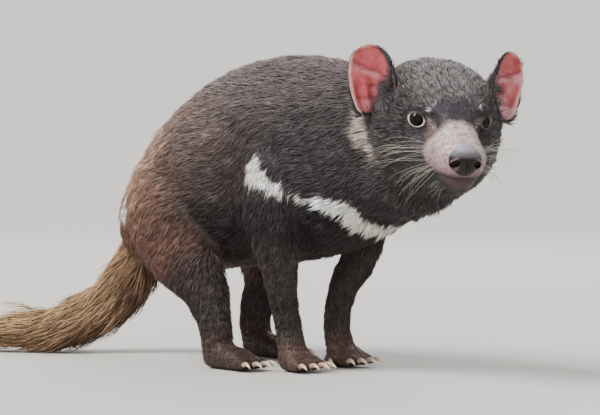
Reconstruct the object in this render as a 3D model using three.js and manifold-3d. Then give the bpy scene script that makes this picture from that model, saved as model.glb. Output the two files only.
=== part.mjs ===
// A Tasmanian devil, life size, standing with its four feet gathered under it, its head turned
// to its right and its tail laid back along the ground.
//
// Millimetres. +X is the way the body faces, +Y its left side, +Z up, and the floor is z = 0.
// The whole animal is a few rounded sweeps: trunk with neck, head, tail and four legs. Each is
// parted into the pieces that a person would name by thin cuts, and each sits in its neighbour's
// recess with a gap of a few tenths of a millimetre.

import * as THREE from "three";
import { LoftGeometry } from "three/addons/geometries/LoftGeometry.js";
import { mergeVertices } from "three/addons/utils/BufferGeometryUtils.js";
import Module from "manifold-3d";

const wasm = await Module();
wasm.setup();

// Driving dimensions, in millimetres.

const WITHERS_HEIGHT = 315; // top of the back over the shoulders, coat included
const HEAD_LENGTH = 160; // nose to the back of the skull, coat included
const TAIL_LENGTH = 250;
const EYE_SPACING = 55; // between the centres of the eyeballs
const EYE_RADIUS = 9;
const EAR_HEIGHT = 60;
const EAR_THICKNESS = 2.4;
const CLAW_LENGTH = 13;
const GAP = 0.3; // between pieces that touch

// How the head is carried, in degrees: turned to the right, nose a little down, left side lower.
const HEAD_TURN = -30;
const HEAD_NOD = 10;
const HEAD_TILT = 2.5;

const RIGHT = -1;
const LEFT = 1;
const UP = new THREE.Vector3(0, 0, 1);
const AHEAD = new THREE.Vector3(1, 0, 0);

const body = WITHERS_HEIGHT / 100; // the body's stations are hundredths of its height
const skullUnit = HEAD_LENGTH / 100; // the head's stations are hundredths of its length
const tailUnit = TAIL_LENGTH / 100;

// Looks of each kind of surface.

const finish = (color, roughness) => new THREE.MeshStandardMaterial({ color, roughness, metalness: 0 });
const COAT = finish(0x2b2422, 0.75);
const RUST_COAT = finish(0x4a3229, 0.75);
const MUZZLE_SKIN = finish(0x8d7470, 0.6);
const NOSE_SKIN = finish(0x1d191b, 0.35);
const EAR_SKIN = finish(0xc4474c, 0.55);
const PAW_SKIN = finish(0x4d3533, 0.6);
const EYE_GLOSS = finish(0x0c0a0a, 0.08);
const CLAW_HORN = finish(0xb9a58e, 0.4);

// Solids: geometry in, closed body out.

function solidOf(geometry) {
  const bare = new THREE.BufferGeometry();
  bare.setAttribute("position", geometry.attributes.position);
  bare.setIndex(geometry.index);
  const merged = mergeVertices(bare, 1e-3);
  const corners = merged.index.array;
  const kept = [];
  for (let i = 0; i < corners.length; i += 3) {
    const [a, b, c] = corners.slice(i, i + 3);
    if (a !== b && b !== c && c !== a) kept.push(a, b, c);
  }
  const build = (triVerts) =>
    new wasm.Manifold(
      new wasm.Mesh({ numProp: 3, vertProperties: merged.attributes.position.array, triVerts }),
    );
  const made = build(new Uint32Array(kept));
  if (made.volume() > 0) return made;
  for (let i = 0; i < kept.length; i += 3) [kept[i + 1], kept[i + 2]] = [kept[i + 2], kept[i + 1]];
  return build(new Uint32Array(kept));
}

const join = (solids) => solids.reduce((all, one) => all.add(one));
const cut = (solid, ...knives) => knives.reduce((left, knife) => left.subtract(knife), solid);
const placed = (solid, matrix) => solid.transform(matrix.elements);

// The part of a solid on the side that the arrow points to, half a gap clear of the plane.
function beyond(solid, point, arrow) {
  const normal = arrow.clone().normalize();
  return solid.trimByPlane(normal.toArray(), normal.dot(point) + GAP / 2);
}

// Only the largest closed body, so that no scrap of a cut is left behind.
function largest(solid) {
  const bodies = solid.decompose();
  return bodies.reduce((best, one) => (one.volume() > best.volume() ? one : best));
}

function meshOf(name, solid, material) {
  const { numVert, numProp, vertProperties, triVerts } = largest(solid).getMesh();
  const positions = new Float32Array(numVert * 3);
  for (let i = 0; i < numVert; i++) {
    positions.set(vertProperties.subarray(i * numProp, i * numProp + 3), i * 3);
  }
  const geometry = new THREE.BufferGeometry();
  geometry.setAttribute("position", new THREE.BufferAttribute(positions, 3));
  geometry.setIndex(new THREE.BufferAttribute(new Uint32Array(triVerts), 1));
  geometry.computeVertexNormals();
  const mesh = new THREE.Mesh(geometry, material);
  mesh.name = name;
  return mesh;
}

// Sweeps: rounded sections carried along a smooth line.

// Where the sections stand, from 0 to 1: closer together in the domes that round off the ends.
function stops(steps, dome, rings) {
  const inner = Array.from({ length: steps + 1 }, (_, i) => dome + ((1 - 2 * dome) * i) / steps);
  const rim = Array.from({ length: rings }, (_, i) => dome * ((i + 0.25) / rings) ** 1.6);
  return [...rim, ...inner, ...rim.map((share) => 1 - share).reverse()];
}

// How much of its full size a section keeps inside a dome, as a quarter ellipse.
function swell(t, dome) {
  const inward = Math.min(1, t / dome, (1 - t) / dome);
  return Math.sqrt(1 - (1 - inward) ** 2);
}

// Each station has a centre and a reach to the sides (wide), to the crown (high) and away from it
// (low). Between stations the centre and the sizes follow splines. square over 2 flattens the
// section's sides, and grow adds to every reach.
function sweep(stations, options) {
  const { sides, steps, dome = 0.06, rings = 3, crown = UP, square = 2, grow = 0 } = options;
  const line = new THREE.CatmullRomCurve3(stations.map((s) => new THREE.Vector3(...s.at)));
  const sizes = new THREE.CatmullRomCurve3(
    stations.map((s) => new THREE.Vector3(s.wide, s.high, s.low)),
  );
  const power = 2 / square;
  const bent = (c) => Math.sign(c) * Math.abs(c) ** power;
  const sections = stops(steps, dome, rings).map((t) => {
    const centre = line.getPoint(t);
    const along = line.getTangent(t);
    const side = crown.clone().cross(along).normalize();
    const top = along.clone().cross(side).normalize();
    const reach = sizes.getPoint(t).multiplyScalar(swell(t, dome)).addScalar(grow);
    return Array.from({ length: sides }, (_, i) => {
      const angle = (2 * Math.PI * i) / sides;
      const across = bent(Math.cos(angle)) * reach.x;
      const rise = bent(Math.sin(angle)) * (Math.sin(angle) > 0 ? reach.y : reach.z);
      return centre.clone().addScaledVector(side, across).addScaledVector(top, rise);
    });
  });
  return solidOf(new LoftGeometry(sections, { capStart: true, capEnd: true }));
}

// A station from a centre and sizes in hundredths of some length.
const station = (unit, x, y, z, wide, high, low = high) => ({
  at: [x * unit, y * unit, z * unit],
  wide: wide * unit,
  high: high * unit,
  low: low * unit,
});

// An egg: a sphere stretched to three half axes, turned and placed.
function egg(halfAxes, centre, turn = new THREE.Euler(), grow = 0, detail = 14) {
  const [a, b, c] = halfAxes.map((axis) => axis + grow);
  const geometry = new THREE.SphereGeometry(1, detail, Math.round(detail * 0.7)).scale(a, b, c);
  const place = new THREE.Matrix4().makeRotationFromEuler(turn).setPosition(...centre);
  return solidOf(geometry.applyMatrix4(place));
}

// Trunk and neck: one sweep from the back of the rump to inside the head. A row gives where it
// stands along X, how far it is off the middle, its half width, and its top and bottom edge.

const TRUNK_ROWS = [
  { x: -74, y: 0, wide: 9, top: 49, bottom: 34 },
  { x: -64, y: 0, wide: 18, top: 60, bottom: 28 },
  { x: -50, y: 0, wide: 23, top: 73, bottom: 27 },
  { x: -34, y: 0, wide: 25, top: 86, bottom: 29 },
  { x: -17, y: 0, wide: 25, top: 96, bottom: 31 },
  { x: 0, y: 0, wide: 23.5, top: 100, bottom: 33.5 },
  { x: 16, y: 0, wide: 22.5, top: 100, bottom: 35.5 },
  { x: 31, y: 0, wide: 21.3, top: 98.5, bottom: 40 },
  { x: 45, y: -0.5, wide: 20.5, top: 97, bottom: 46 },
  { x: 58, y: -2, wide: 20, top: 95, bottom: 49 },
  { x: 73, y: -5, wide: 17, top: 91, bottom: 53 },
];
const NECK_BASE = 38; // where the neck is parted from the torso
const LOIN = -36; // where the torso is parted from the rump

function trunk(grow = 0) {
  const rows = TRUNK_ROWS.map(({ x, y, wide, top, bottom }) => {
    const middle = (top + 1.2 * bottom) / 2.2; // widest a little under half way
    return station(body, x, y, middle, wide, top - middle, middle - bottom);
  });
  return sweep(rows, { sides: 22, steps: 17, dome: 0.05, rings: 2, square: 2.08, grow });
}

// Legs: each is one sweep from the shoulder or hip to the ankle, with a paw of toes, parted at the
// elbow or knee and at the ankle. Stations run from the top down, and high is towards the front.
// Where the lower stations stand goes with the stance: each foot with its elbow, or with its knee
// and shin. The patch is the oval, seen from the side, along which the leg is parted from the flank.

const FORELEG = {
  stations: (side, foot) => [
    station(body, 5, 14 * side, 74, 8, 10),
    station(body, 12, 17.5 * side, 60, 9.5, 11),
    station(body, 13.5, 18.8 * side, 47, 8.8, 9.5, 11),
    station(body, 14.5, 17.8 * side, 36, 6.4, 7, 7.6),
    station(body, foot.wrist, foot.y + foot.out, 25, 4.8, 5.4, 5.4),
    station(body, foot.x - 5, foot.y, 14, 4.4, 4.6),
    station(body, foot.x - 2.6, foot.y, 4, 4.6, 4.8),
  ],
  patch: { x: 11, z: 54, wide: 16.5, high: 26, lean: 0.15, inner: 9 },
  parting: { upper: 34, paw: 10.5 },
  foot: {
    [RIGHT]: { x: 18, y: -12.2, wrist: 13.5, out: -3.2 },
    [LEFT]: { x: 14.5, y: 11.8, wrist: 11.2, out: 1.2 },
  },
  paw: { back: -7.2, wide: 6.1, high: 4.2, length: 11.6 },
  toes: 5,
  toeLength: 6.6,
};
const HINDLEG = {
  stations: (side, foot) => [
    station(body, -43, 13 * side, 66, 8, 14),
    station(body, -39, 18.4 * side, 52, 10.8, 16.5),
    station(body, foot.knee, 20.755 * side, 38, 9.6, 14, 14.5),
    station(body, foot.shin, 20.8 * side, 26, 7.4, 9),
    station(body, foot.x - 11.6, foot.y, 14, 5.2, 6),
    station(body, foot.x - 10, foot.y, 4, 4.8, 5.4),
  ],
  patch: { x: -42, z: 49, wide: 23, high: 27, lean: 0.25, inner: 8 },
  parting: { upper: 26.5, paw: 11.5 },
  foot: {
    [RIGHT]: { x: 0.5, y: -22, knee: -30, shin: -18 },
    [LEFT]: { x: -26, y: 18.5, knee: -35, shin: -34 },
  },
  paw: { back: -16, wide: 5.6, high: 4.4, length: 21.5 },
  toes: 4,
  toeLength: 7,
};

function legPatch(leg, side, grow = 0) {
  const { x, z, wide, high, lean, inner } = leg.patch;
  const oval = new THREE.Shape();
  oval.absellipse(0, 0, wide * body + grow, high * body + grow, 0, 2 * Math.PI, false, lean);
  const depth = 2 * inner * body + grow;
  const block = new THREE.ExtrudeGeometry(oval, { depth, bevelEnabled: false, curveSegments: 12 });
  const outwards = side === LEFT ? inner * body - grow + depth : -inner * body + grow;
  return solidOf(block.rotateX(Math.PI / 2).translate(x * body, outwards, z * body));
}

// Toes fan out from the front of the paw. The fifth, on a forepaw's inner side, points inwards.
// Each starts a little inside the paw, and from there the way that it points is splayed sideways.
const TOE = { inside: 2.5, up: 2.6, drop: 0.5, splay: 0.2, shorter: 0.12, half: 1.7 };
const THUMB = { number: 4, inside: 7.5, splay: 0.55, share: 0.55 };
const TOE_ROWS = [
  { wide: 1.7, high: 2.1, low: 2.2 },
  { wide: 1.8, high: 2, low: 2.4 },
  { wide: 1.5, high: 1.7, low: 2 },
];

function toeLine(leg, side, number) {
  const foot = leg.foot[side];
  const root = foot.x + leg.paw.back + leg.paw.length;
  const spread = (number - 1.5) / 1.5; // -1 on the outer side to 1 on the inner
  const thumb = number === THUMB.number;
  const inside = thumb ? THUMB.inside : TOE.inside + Math.abs(spread);
  const inwards = thumb ? leg.paw.wide : spread * (leg.paw.wide - TOE.half);
  const start = new THREE.Vector3(root - inside, foot.y - side * inwards, TOE.up).multiplyScalar(body);
  const splay = -side * (thumb ? THUMB.splay : spread * TOE.splay);
  const reach = (thumb ? THUMB.share : 1 - TOE.shorter * Math.abs(spread)) * leg.toeLength * body;
  const tip = start.clone().add(new THREE.Vector3(reach, reach * splay, -TOE.drop * body));
  return { start, tip, ahead: tip.clone().sub(start).normalize() };
}

function toe(leg, side, number, grow = 0) {
  const { start, tip } = toeLine(leg, side, number);
  const knuckle = start.clone().lerp(tip, 0.5).addScaledVector(UP, TOE.drop * body);
  const rows = [start, knuckle, tip].map((point, i) => {
    const [wide, high, low] = [TOE_ROWS[i].wide, TOE_ROWS[i].high, TOE_ROWS[i].low];
    return { at: point.toArray(), wide: wide * body, high: high * body, low: low * body };
  });
  return sweep(rows, { sides: 6, steps: 1, dome: 0.25, rings: 1, grow });
}

// A paw's stations from the heel forwards, with its width and height as shares of the largest.
const PAW_ROWS = [
  { along: 0, up: 4.4, wide: 0.66, high: 0.8, low: 4.8 },
  { along: 0.35, up: 4.4, wide: 0.9, high: 1, low: 4.8 },
  { along: 0.75, up: 3.6, wide: 1, high: 0.8, low: 4.2 },
  { along: 1, up: 3, wide: 0.86, high: 0.5, low: 3.6 },
];

function paw(leg, side) {
  const foot = leg.foot[side];
  const heel = foot.x + leg.paw.back;
  const rows = PAW_ROWS.map(({ along, up, wide, high, low }) => {
    const x = heel + along * leg.paw.length;
    return station(body, x, foot.y, up, wide * leg.paw.wide, high * leg.paw.high, low);
  });
  const toes = Array.from({ length: leg.toes }, (_, i) => toe(leg, side, i));
  return join([sweep(rows, { sides: 10, steps: 4, dome: 0.16, rings: 2 }), ...toes]);
}

// A claw curves down from the tip of its toe to a point, and clears the floor. Its stations give how
// far it reaches ahead and up, as shares of its length, and its half height in millimetres.
const CLAW_ROOT = { ahead: 0.4, up: 0.7 };
const CLAW_ROWS = [
  { ahead: -0.2, up: -0.05, half: 2.3 },
  { ahead: 0.35, up: 0.06, half: 2 },
  { ahead: 0.9, up: -0.24, half: 0.35 },
];
const CLAW_WIDTH = 0.8; // of its height

function claw(leg, side, number) {
  const { tip, ahead } = toeLine(leg, side, number);
  const from = (point, share, size) =>
    point.clone().addScaledVector(ahead, share.ahead * size).addScaledVector(UP, share.up * size);
  const root = from(tip, CLAW_ROOT, body);
  const rows = CLAW_ROWS.map((row) => {
    const { half } = row;
    return { at: from(root, row, CLAW_LENGTH).toArray(), wide: half * CLAW_WIDTH, high: half, low: half };
  });
  return sweep(rows, { sides: 4, steps: 2, dome: 0.04, rings: 0 });
}

function limb(leg, side, grow = 0) {
  const shape = { sides: 14, steps: 9, dome: 0.05, rings: 1, crown: AHEAD, square: 2.1, grow };
  return sweep(leg.stations(side, leg.foot[side]), shape);
}

// Tail: thick at the root, it drops to the floor and lies back and to the right. The rows are its
// outline over the coat. Under that lies a core, full at the root, where the coat is short, and
// thinner from there on. Flat tapered locks are rooted in it in rings and lie back over one
// another, out to the outline.

const TAIL_ROWS = [
  station(tailUnit, -78, 0, 60, 10, 10),
  station(tailUnit, -87, -1, 48, 11.2, 11.2),
  station(tailUnit, -95, -4.5, 33.5, 11.6, 12),
  station(tailUnit, -104, -11.5, 20.5, 11.6, 12.2),
  station(tailUnit, -116, -23, 12.2, 10.8, 11.8),
  station(tailUnit, -130, -35, 9.6, 9.4, 9.6),
  station(tailUnit, -143, -44.5, 8, 7.4, 7.6),
  station(tailUnit, -153, -51, 7, 4.6, 4.6),
];
// The tail's stretches, with the places where their locks begin and end, as shares of its length,
// and the plane that parts each from the next one.
const STRETCHES = [
  { name: "tail_root", from: 0, to: 0.42, parting: [-100, -8, 26], arrow: [-1, -0.8, -1.3] },
  { name: "tail_middle", from: 0.42, to: 0.68, parting: [-124, -30, 10.5], arrow: [-1, -0.9, -0.15] },
  { name: "tail_tip", from: 0.68, to: 1 },
];
const CORE_SHARES = [1, 1, 0.92, 0.78, 0.7, 0.68, 0.66, 0.5]; // of the outline, row by row
const TAIL_END = { at: 1.07, over: 0.3 }; // where the last tips meet, and over what stretch
const LOCKS = {
  rings: 8,
  around: [7, 4], // in the first ring and in the last
  first: 0.27, // the rings' places, as shares of the tail's length
  last: 0.87,
  length: 50,
  wide: [9.2, 7], // half width in the first ring and in the last
  thick: 2, // half thickness
  sunk: 4.5, // how deep a root lies in the core
  lift: 0.45, // how far from the core to the outline a lock has risen half way along
  vary: 0.15, // of the length, width and place
};
// A lock's stations from its root to its tip: how far along it they stand, how much of its curl
// they have taken, their width as a share of the lock's, and their half thickness.
const LOCK_ROWS = [
  { along: 0, curled: 0, wide: 0.8, thick: LOCKS.thick },
  { along: 0.45, curled: 0.3, wide: 1, thick: LOCKS.thick },
  { along: 0.8, curled: 0.7, wide: 0.7, thick: 1.4 },
  { along: 1, curled: 1, wide: 0.09, thick: 0.4 },
];
const NEAR_TIP = 0.9; // how far out the last station but one lies, where the outline is 1

const tailLine = new THREE.CatmullRomCurve3(TAIL_ROWS.map(({ at }) => new THREE.Vector3(...at)));
const tailSizes = new THREE.CatmullRomCurve3(
  TAIL_ROWS.map(({ wide, high, low }) => new THREE.Vector3(wide, high, low)),
);
const coreShare = new THREE.CatmullRomCurve3(CORE_SHARES.map((share) => new THREE.Vector3(share, 0, 0)));

// Numbers from 0 to 1 that look random and come out the same each time.
function seeded(seed) {
  let state = seed;
  return () => {
    state = (state * 1664525 + 1013904223) % 2 ** 32;
    return state / 2 ** 32;
  };
}

const tailCore = () =>
  sweep(
    TAIL_ROWS.map(({ at, wide, high, low }, i) => {
      const share = CORE_SHARES[i];
      return { at, wide: wide * share, high: high * share, low: low * share };
    }),
    { sides: 10, steps: 10, dome: 0.05, rings: 1 },
  );

// A place round the tail: t along it, an angle round it, and how far out from its middle, where
// the outline is 1. Past the tail's end the places go straight on and close in.
function tailPlace(t, angle, share, inward = 0) {
  const inside = Math.min(t, 1);
  const along = tailLine.getTangent(inside);
  const side = UP.clone().cross(along).normalize();
  const top = along.clone().cross(side).normalize();
  const size = tailSizes.getPoint(inside).multiplyScalar(share).subScalar(inward);
  const rise = Math.sin(angle) * (Math.sin(angle) > 0 ? size.y : size.z);
  const closing = Math.min(1, Math.sqrt(Math.max(0, TAIL_END.at - t) / TAIL_END.over));
  const outward = side.multiplyScalar(Math.cos(angle) * size.x).addScaledVector(top, rise);
  return tailLine
    .getPoint(inside)
    .addScaledVector(along, (t - inside) * tailLine.getLength())
    .addScaledVector(outward, closing);
}

// The locks of one stretch of the tail, from one share of its length to another.
function tailLocks(from, to, grow = 0) {
  const random = seeded(7);
  const spread = (amount) => 1 + amount * (2 * random() - 1);
  const { lerp } = THREE.MathUtils;
  const locks = [];
  for (let ring = 0; ring < LOCKS.rings; ring++) {
    const share = ring / (LOCKS.rings - 1);
    const around = Math.round(lerp(...LOCKS.around, share));
    for (let i = 0; i < around; i++) {
      const step = (LOCKS.last - LOCKS.first) / (LOCKS.rings - 1);
      const t = LOCKS.first + step * (ring + LOCKS.vary * (spread(1) - 1));
      const angle = (2 * Math.PI * (i + 0.5 * (ring % 2) + LOCKS.vary * (spread(1) - 1))) / around;
      const length = (LOCKS.length * spread(LOCKS.vary) + grow) / tailLine.getLength();
      const wide = lerp(...LOCKS.wide, share) * spread(LOCKS.vary);
      const curl = 2 * LOCKS.vary * (spread(1) - 1);
      if (t < from || t >= to) continue;
      const core = coreShare.getPoint(t).x;
      const half = core + LOCKS.lift * (1 - core);
      const out = [core, half, NEAR_TIP, 1];
      const crown = tailPlace(t, angle, 1).sub(tailPlace(t, angle, 0)).normalize();
      const stations = LOCK_ROWS.map((row, k) => {
        const inward = k === 0 ? LOCKS.sunk : 0;
        const place = tailPlace(t + row.along * length, angle + row.curled * curl, out[k], inward);
        return { at: place.toArray(), wide: wide * row.wide, high: row.thick, low: row.thick };
      });
      locks.push(sweep(stations, { sides: 4, steps: 3, dome: 0.01, rings: 0, crown, grow }));
    }
  }
  return join(locks);
}

// Head, in its own frame: the origin is midway between the eyes, +X towards the nose. A row gives
// the half width and the height of the top, of the widest place and of the bottom.

const HEAD_ROWS = [
  { x: 42.5, wide: 10, top: -9.5, middle: -18, bottom: -27 },
  { x: 37, wide: 14.5, top: -5, middle: -18, bottom: -31.5 },
  { x: 28, wide: 17.5, top: -0.5, middle: -18, bottom: -34.5 },
  { x: 17, wide: 19, top: 4, middle: -17, bottom: -37.5 },
  { x: 8, wide: 22, top: 10, middle: -15, bottom: -41 },
  { x: -3, wide: 30, top: 20, middle: -12.5, bottom: -45.5 },
  { x: -15, wide: 38.5, top: 28, middle: -11, bottom: -51 },
  { x: -28, wide: 41, top: 32, middle: -10, bottom: -56 },
  { x: -42, wide: 38.5, top: 32, middle: -10, bottom: -58 },
  { x: -56, wide: 32, top: 28, middle: -9, bottom: -54 },
  { x: -70, wide: 24, top: 20, middle: -10, bottom: -46 },
];

function skull(grow = 0) {
  const rows = HEAD_ROWS.map(({ x, wide, top, middle, bottom }) =>
    station(skullUnit, x, 0, middle, wide, top - middle, middle - bottom),
  );
  return sweep(rows, { sides: 26, steps: 15, dome: 0.05, square: 2.3, grow });
}

const EYE_OUTWARD = THREE.MathUtils.degToRad(42); // from straight ahead towards the side
const EYE_AT = (side) => new THREE.Vector3(0, (side * EYE_SPACING) / 2, 0);
const LID = 1.8;
const EYE_OPENING = { wide: 0.78 * EYE_RADIUS, high: 0.7 * EYE_RADIUS };
const LID_RIM = { thick: 1.3, ahead: 0.72 * EYE_RADIUS };
const EYE_DISH = { deep: 8, wide: 1.9 * EYE_RADIUS, high: 1.6 * EYE_RADIUS, ahead: 14 };

// Round each eye the face falls in to a shallow dish. Two lids lie over the eyeball in it, with a
// thick rim round the opening. Everything is laid out along the way that the eye looks.
function lidsOn(head, side) {
  const gaze = new THREE.Matrix4().makeRotationZ(side * EYE_OUTWARD).setPosition(EYE_AT(side));
  const { deep, wide, high, ahead } = EYE_DISH;
  const dish = egg([deep, wide, high], [ahead, 0, 0], undefined, 0, 12);
  const ball = egg(Array(3).fill(EYE_RADIUS + GAP + LID), [0, 0, 0], undefined, 0, 12);
  const middle = (EYE_OPENING.wide + EYE_OPENING.high) / 2 + LID_RIM.thick;
  const rim = new THREE.TorusGeometry(middle, LID_RIM.thick, 5, 14)
    .rotateY(Math.PI / 2)
    .scale(1, EYE_OPENING.wide / EYE_OPENING.high, 1)
    .translate(LID_RIM.ahead, 0, 0);
  const opening = new THREE.CylinderGeometry(1, 1, 3 * EYE_RADIUS, 14)
    .scale(EYE_OPENING.wide, 1, EYE_OPENING.high)
    .rotateZ(-Math.PI / 2)
    .translate(1.5 * EYE_RADIUS, 0, 0);
  const socket = egg(Array(3).fill(EYE_RADIUS), [0, 0, 0], undefined, GAP, 12);
  const along = (solid) => placed(solid, gaze);
  const lidded = join([cut(head, along(dish)), along(ball), along(solidOf(rim))]);
  return cut(lidded, along(solidOf(opening)), along(socket));
}

const NOSE_AT = [0.43 * HEAD_LENGTH, 0, -0.14 * HEAD_LENGTH];
const NOSE_HALF = [0.055 * HEAD_LENGTH, 0.095 * HEAD_LENGTH, 0.078 * HEAD_LENGTH];

const NOSTRIL = { half: [7, 3, 4.2], ahead: 6.5, apart: 8.6, below: 3.5, splay: 0.75 };

function nose() {
  const [x, , z] = NOSE_AT;
  const pad = egg(NOSE_HALF, NOSE_AT, undefined, 0, 14);
  const nostrils = [RIGHT, LEFT].map((side) => {
    const at = [x + NOSTRIL.ahead, side * NOSTRIL.apart, z - NOSTRIL.below];
    return egg(NOSTRIL.half, at, new THREE.Euler(0, 0, side * NOSTRIL.splay), 0, 8);
  });
  return cut(pad, ...nostrils);
}

// The lips' line, seen from the side, and from its corner down through the throat: under it is the
// lower jaw. The rise lifts the line.
const LIP_LINE = [[60, -25.5], [38, -26.5], [26, -28], [12, -28], [2, -30], [-6, -37], [-9, -60]];
const LIP = { corner: 2, high: 3.4, proud: 0.8, slit: 0.7, deep: 2 };

function jawBlock(rise) {
  const shape = new THREE.Shape();
  LIP_LINE.forEach(([x, z], i) => {
    shape[i ? "lineTo" : "moveTo"](x * skullUnit - rise * 0.2, z * skullUnit + rise);
  });
  shape.lineTo(60 * skullUnit, -60 * skullUnit);
  const block = new THREE.ExtrudeGeometry(shape, { depth: HEAD_LENGTH, bevelEnabled: false });
  return solidOf(block.rotateX(Math.PI / 2).translate(0, HEAD_LENGTH / 2, 0));
}

// What lies between two heights over and under the lips' line, from its corner forwards.
const lipSlab = (low, high) =>
  cut(jawBlock(high), jawBlock(low)).trimByPlane([1, 0, 0], LIP.corner * skullUnit);

const CHIN = { half: [14, 14, 9], at: [46, 0, -45] };
const BROW = { half: [17, 9, 8], ahead: -6, apart: 31, up: 10, turn: 0.55 };

// The head's flesh, without eyes and nose.
function face(grow = 0) {
  const brows = [RIGHT, LEFT].map((side) => {
    const at = [BROW.ahead, side * BROW.apart, BROW.up];
    return egg(BROW.half, at, new THREE.Euler(0, 0, -side * BROW.turn), grow);
  });
  return join([skull(grow), egg(CHIN.half, CHIN.at, undefined, grow), ...brows]);
}

// The lips are a low roll above and below the line of the mouth, which is a groove between them.
function wholeHead() {
  const lips = face(LIP.proud).intersect(lipSlab(-LIP.high, LIP.high));
  const groove = cut(lipSlab(-LIP.slit, LIP.slit), face(-LIP.deep));
  let head = cut(face().add(lips), groove);
  for (const side of [RIGHT, LEFT]) head = lidsOn(head, side);
  return cut(head, egg(NOSE_HALF, NOSE_AT, undefined, GAP, 14));
}

// Ear: a thin leaf bent into a cup. Across the leaf u runs from -1 to 1, and each section goes along
// the hollow front face and back along the rear face, which lies one thickness behind it.
function ear() {
  const rows = [
    { rise: -0.06, wide: 0.27, deep: 0.32 },
    { rise: 0.1, wide: 0.345, deep: 0.3 },
    { rise: 0.28, wide: 0.375, deep: 0.24 },
    { rise: 0.5, wide: 0.38, deep: 0.18 },
    { rise: 0.72, wide: 0.34, deep: 0.12 },
    { rise: 0.88, wide: 0.25, deep: 0.07 },
    { rise: 0.97, wide: 0.13, deep: 0.02 },
    { rise: 1, wide: 0.05, deep: 0.005 },
  ];
  const across = 8;
  const shares = Array.from({ length: across + 1 }, (_, j) => (2 * j) / across - 1);
  const sections = rows.map(({ rise, wide, deep }) => {
    const front = (u) => new THREE.Vector2(deep * (u * u - 1) - 0.1 * rise, u * wide);
    const rear = (u) => new THREE.Vector2(-wide, 2 * deep * u).normalize();
    const at = (point) => new THREE.Vector3(point.x, point.y, rise).multiplyScalar(EAR_HEIGHT);
    const skinAt = (u) => front(u).addScaledVector(rear(u), EAR_THICKNESS / EAR_HEIGHT);
    return [...shares.map((u) => at(front(u))), ...shares.map((u) => at(skinAt(u))).reverse()];
  });
  return solidOf(new LoftGeometry(sections, { capStart: true, capEnd: true }));
}

// Assembly. The head turns on the neck as one group, and is parted from it behind the ears.

const HEAD_AT = [83 * body, -11.4 * body, 79.2 * body];
const EAR_AT = { back: 0.22 * HEAD_LENGTH, apart: 0.385 * HEAD_LENGTH, up: 0.03 * HEAD_LENGTH };
const EAR_TURN = { out: { [RIGHT]: 0.34, [LEFT]: 0.42 }, forward: 0.05, open: 0.6 };

const animal = new THREE.Group();
const carriage = new THREE.Group();
carriage.position.set(...HEAD_AT);
carriage.rotation.set(
  THREE.MathUtils.degToRad(-HEAD_TILT),
  THREE.MathUtils.degToRad(HEAD_NOD),
  THREE.MathUtils.degToRad(HEAD_TURN),
  "ZYX",
);
carriage.updateMatrix();
animal.add(carriage);

const intoHead = carriage.matrix.clone().invert();
const nape = new THREE.Vector3(-0.4 * HEAD_LENGTH, 0, 0);
const napeArrow = new THREE.Vector3(1, 0.22, 0.05);
const headAndNeck = wholeHead().add(placed(trunk(), intoHead));
const headSolid = beyond(headAndNeck, nape, napeArrow);
carriage.add(
  meshOf("head", cut(headSolid, jawBlock(GAP)), COAT),
  meshOf("lower_jaw", headSolid.intersect(jawBlock(0)), MUZZLE_SKIN),
  meshOf("nose", nose(), NOSE_SKIN),
);
for (const [side, word] of [[RIGHT, "right"], [LEFT, "left"]]) {
  const eyeball = egg(Array(3).fill(EYE_RADIUS), [0, 0, 0], undefined, 0, 12);
  const eye = meshOf(`eye_${word}`, eyeball, EYE_GLOSS);
  eye.position.copy(EYE_AT(side));
  eye.rotation.z = side * EYE_OUTWARD;
  carriage.add(eye);

  const turn = new THREE.Euler(-side * EAR_TURN.out[side], -EAR_TURN.forward, side * EAR_TURN.open, "ZXY");
  const leaf = new THREE.Matrix4()
    .makeRotationFromEuler(turn)
    .setPosition(-EAR_AT.back, side * EAR_AT.apart, EAR_AT.up);
  const cup = cut(placed(ear(), leaf), skull(GAP), placed(trunk(GAP), intoHead));
  carriage.add(meshOf(`ear_${word}`, cup, EAR_SKIN));
}

const LEGS = [
  { leg: FORELEG, names: ["upper_arm", "forearm", "forepaw"] },
  { leg: HINDLEG, names: ["thigh", "shank", "hindpaw"] },
];
const SIDES = [[RIGHT, "right"], [LEFT, "left"]];
const back = AHEAD.clone().negate();
const down = UP.clone().negate();
const legRoom = LEGS.flatMap(({ leg }) =>
  SIDES.flatMap(([side]) => [limb(leg, side, GAP), legPatch(leg, side, GAP)]),
);
const bodyAndNape = beyond(
  trunk().add(placed(skull(), carriage.matrix)),
  nape.clone().applyMatrix4(carriage.matrix),
  napeArrow.clone().transformDirection(carriage.matrix).negate(),
);
const core = cut(bodyAndNape, ...legRoom);
const neckBase = new THREE.Vector3(NECK_BASE * body, 0, 0);
const loin = new THREE.Vector3(LOIN * body, 0, 0);
animal.add(
  meshOf("neck", beyond(core, neckBase, AHEAD), COAT),
  meshOf("torso", beyond(beyond(core, neckBase, back), loin, AHEAD), COAT),
  meshOf("rump", beyond(core, loin, back), RUST_COAT),
);

// Each stretch of the tail is cut clear of the locks that lie over it from the stretch before.
let coreLeft = cut(tailCore(), trunk(GAP));
let overlying = trunk(GAP);
for (const { name, from, to, parting, arrow } of STRETCHES) {
  let stretch = coreLeft;
  if (parting) {
    const at = new THREE.Vector3(...parting).multiplyScalar(tailUnit);
    const onwards = new THREE.Vector3(...arrow);
    stretch = beyond(coreLeft, at, onwards.clone().negate());
    coreLeft = beyond(coreLeft, at, onwards);
  }
  const coated = cut(stretch.add(tailLocks(from, to)), overlying, ...(parting ? [coreLeft] : []));
  animal.add(meshOf(name, coated.trimByPlane([0, 0, 1], 0), RUST_COAT));
  overlying = tailLocks(from, to, GAP);
}

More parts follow.
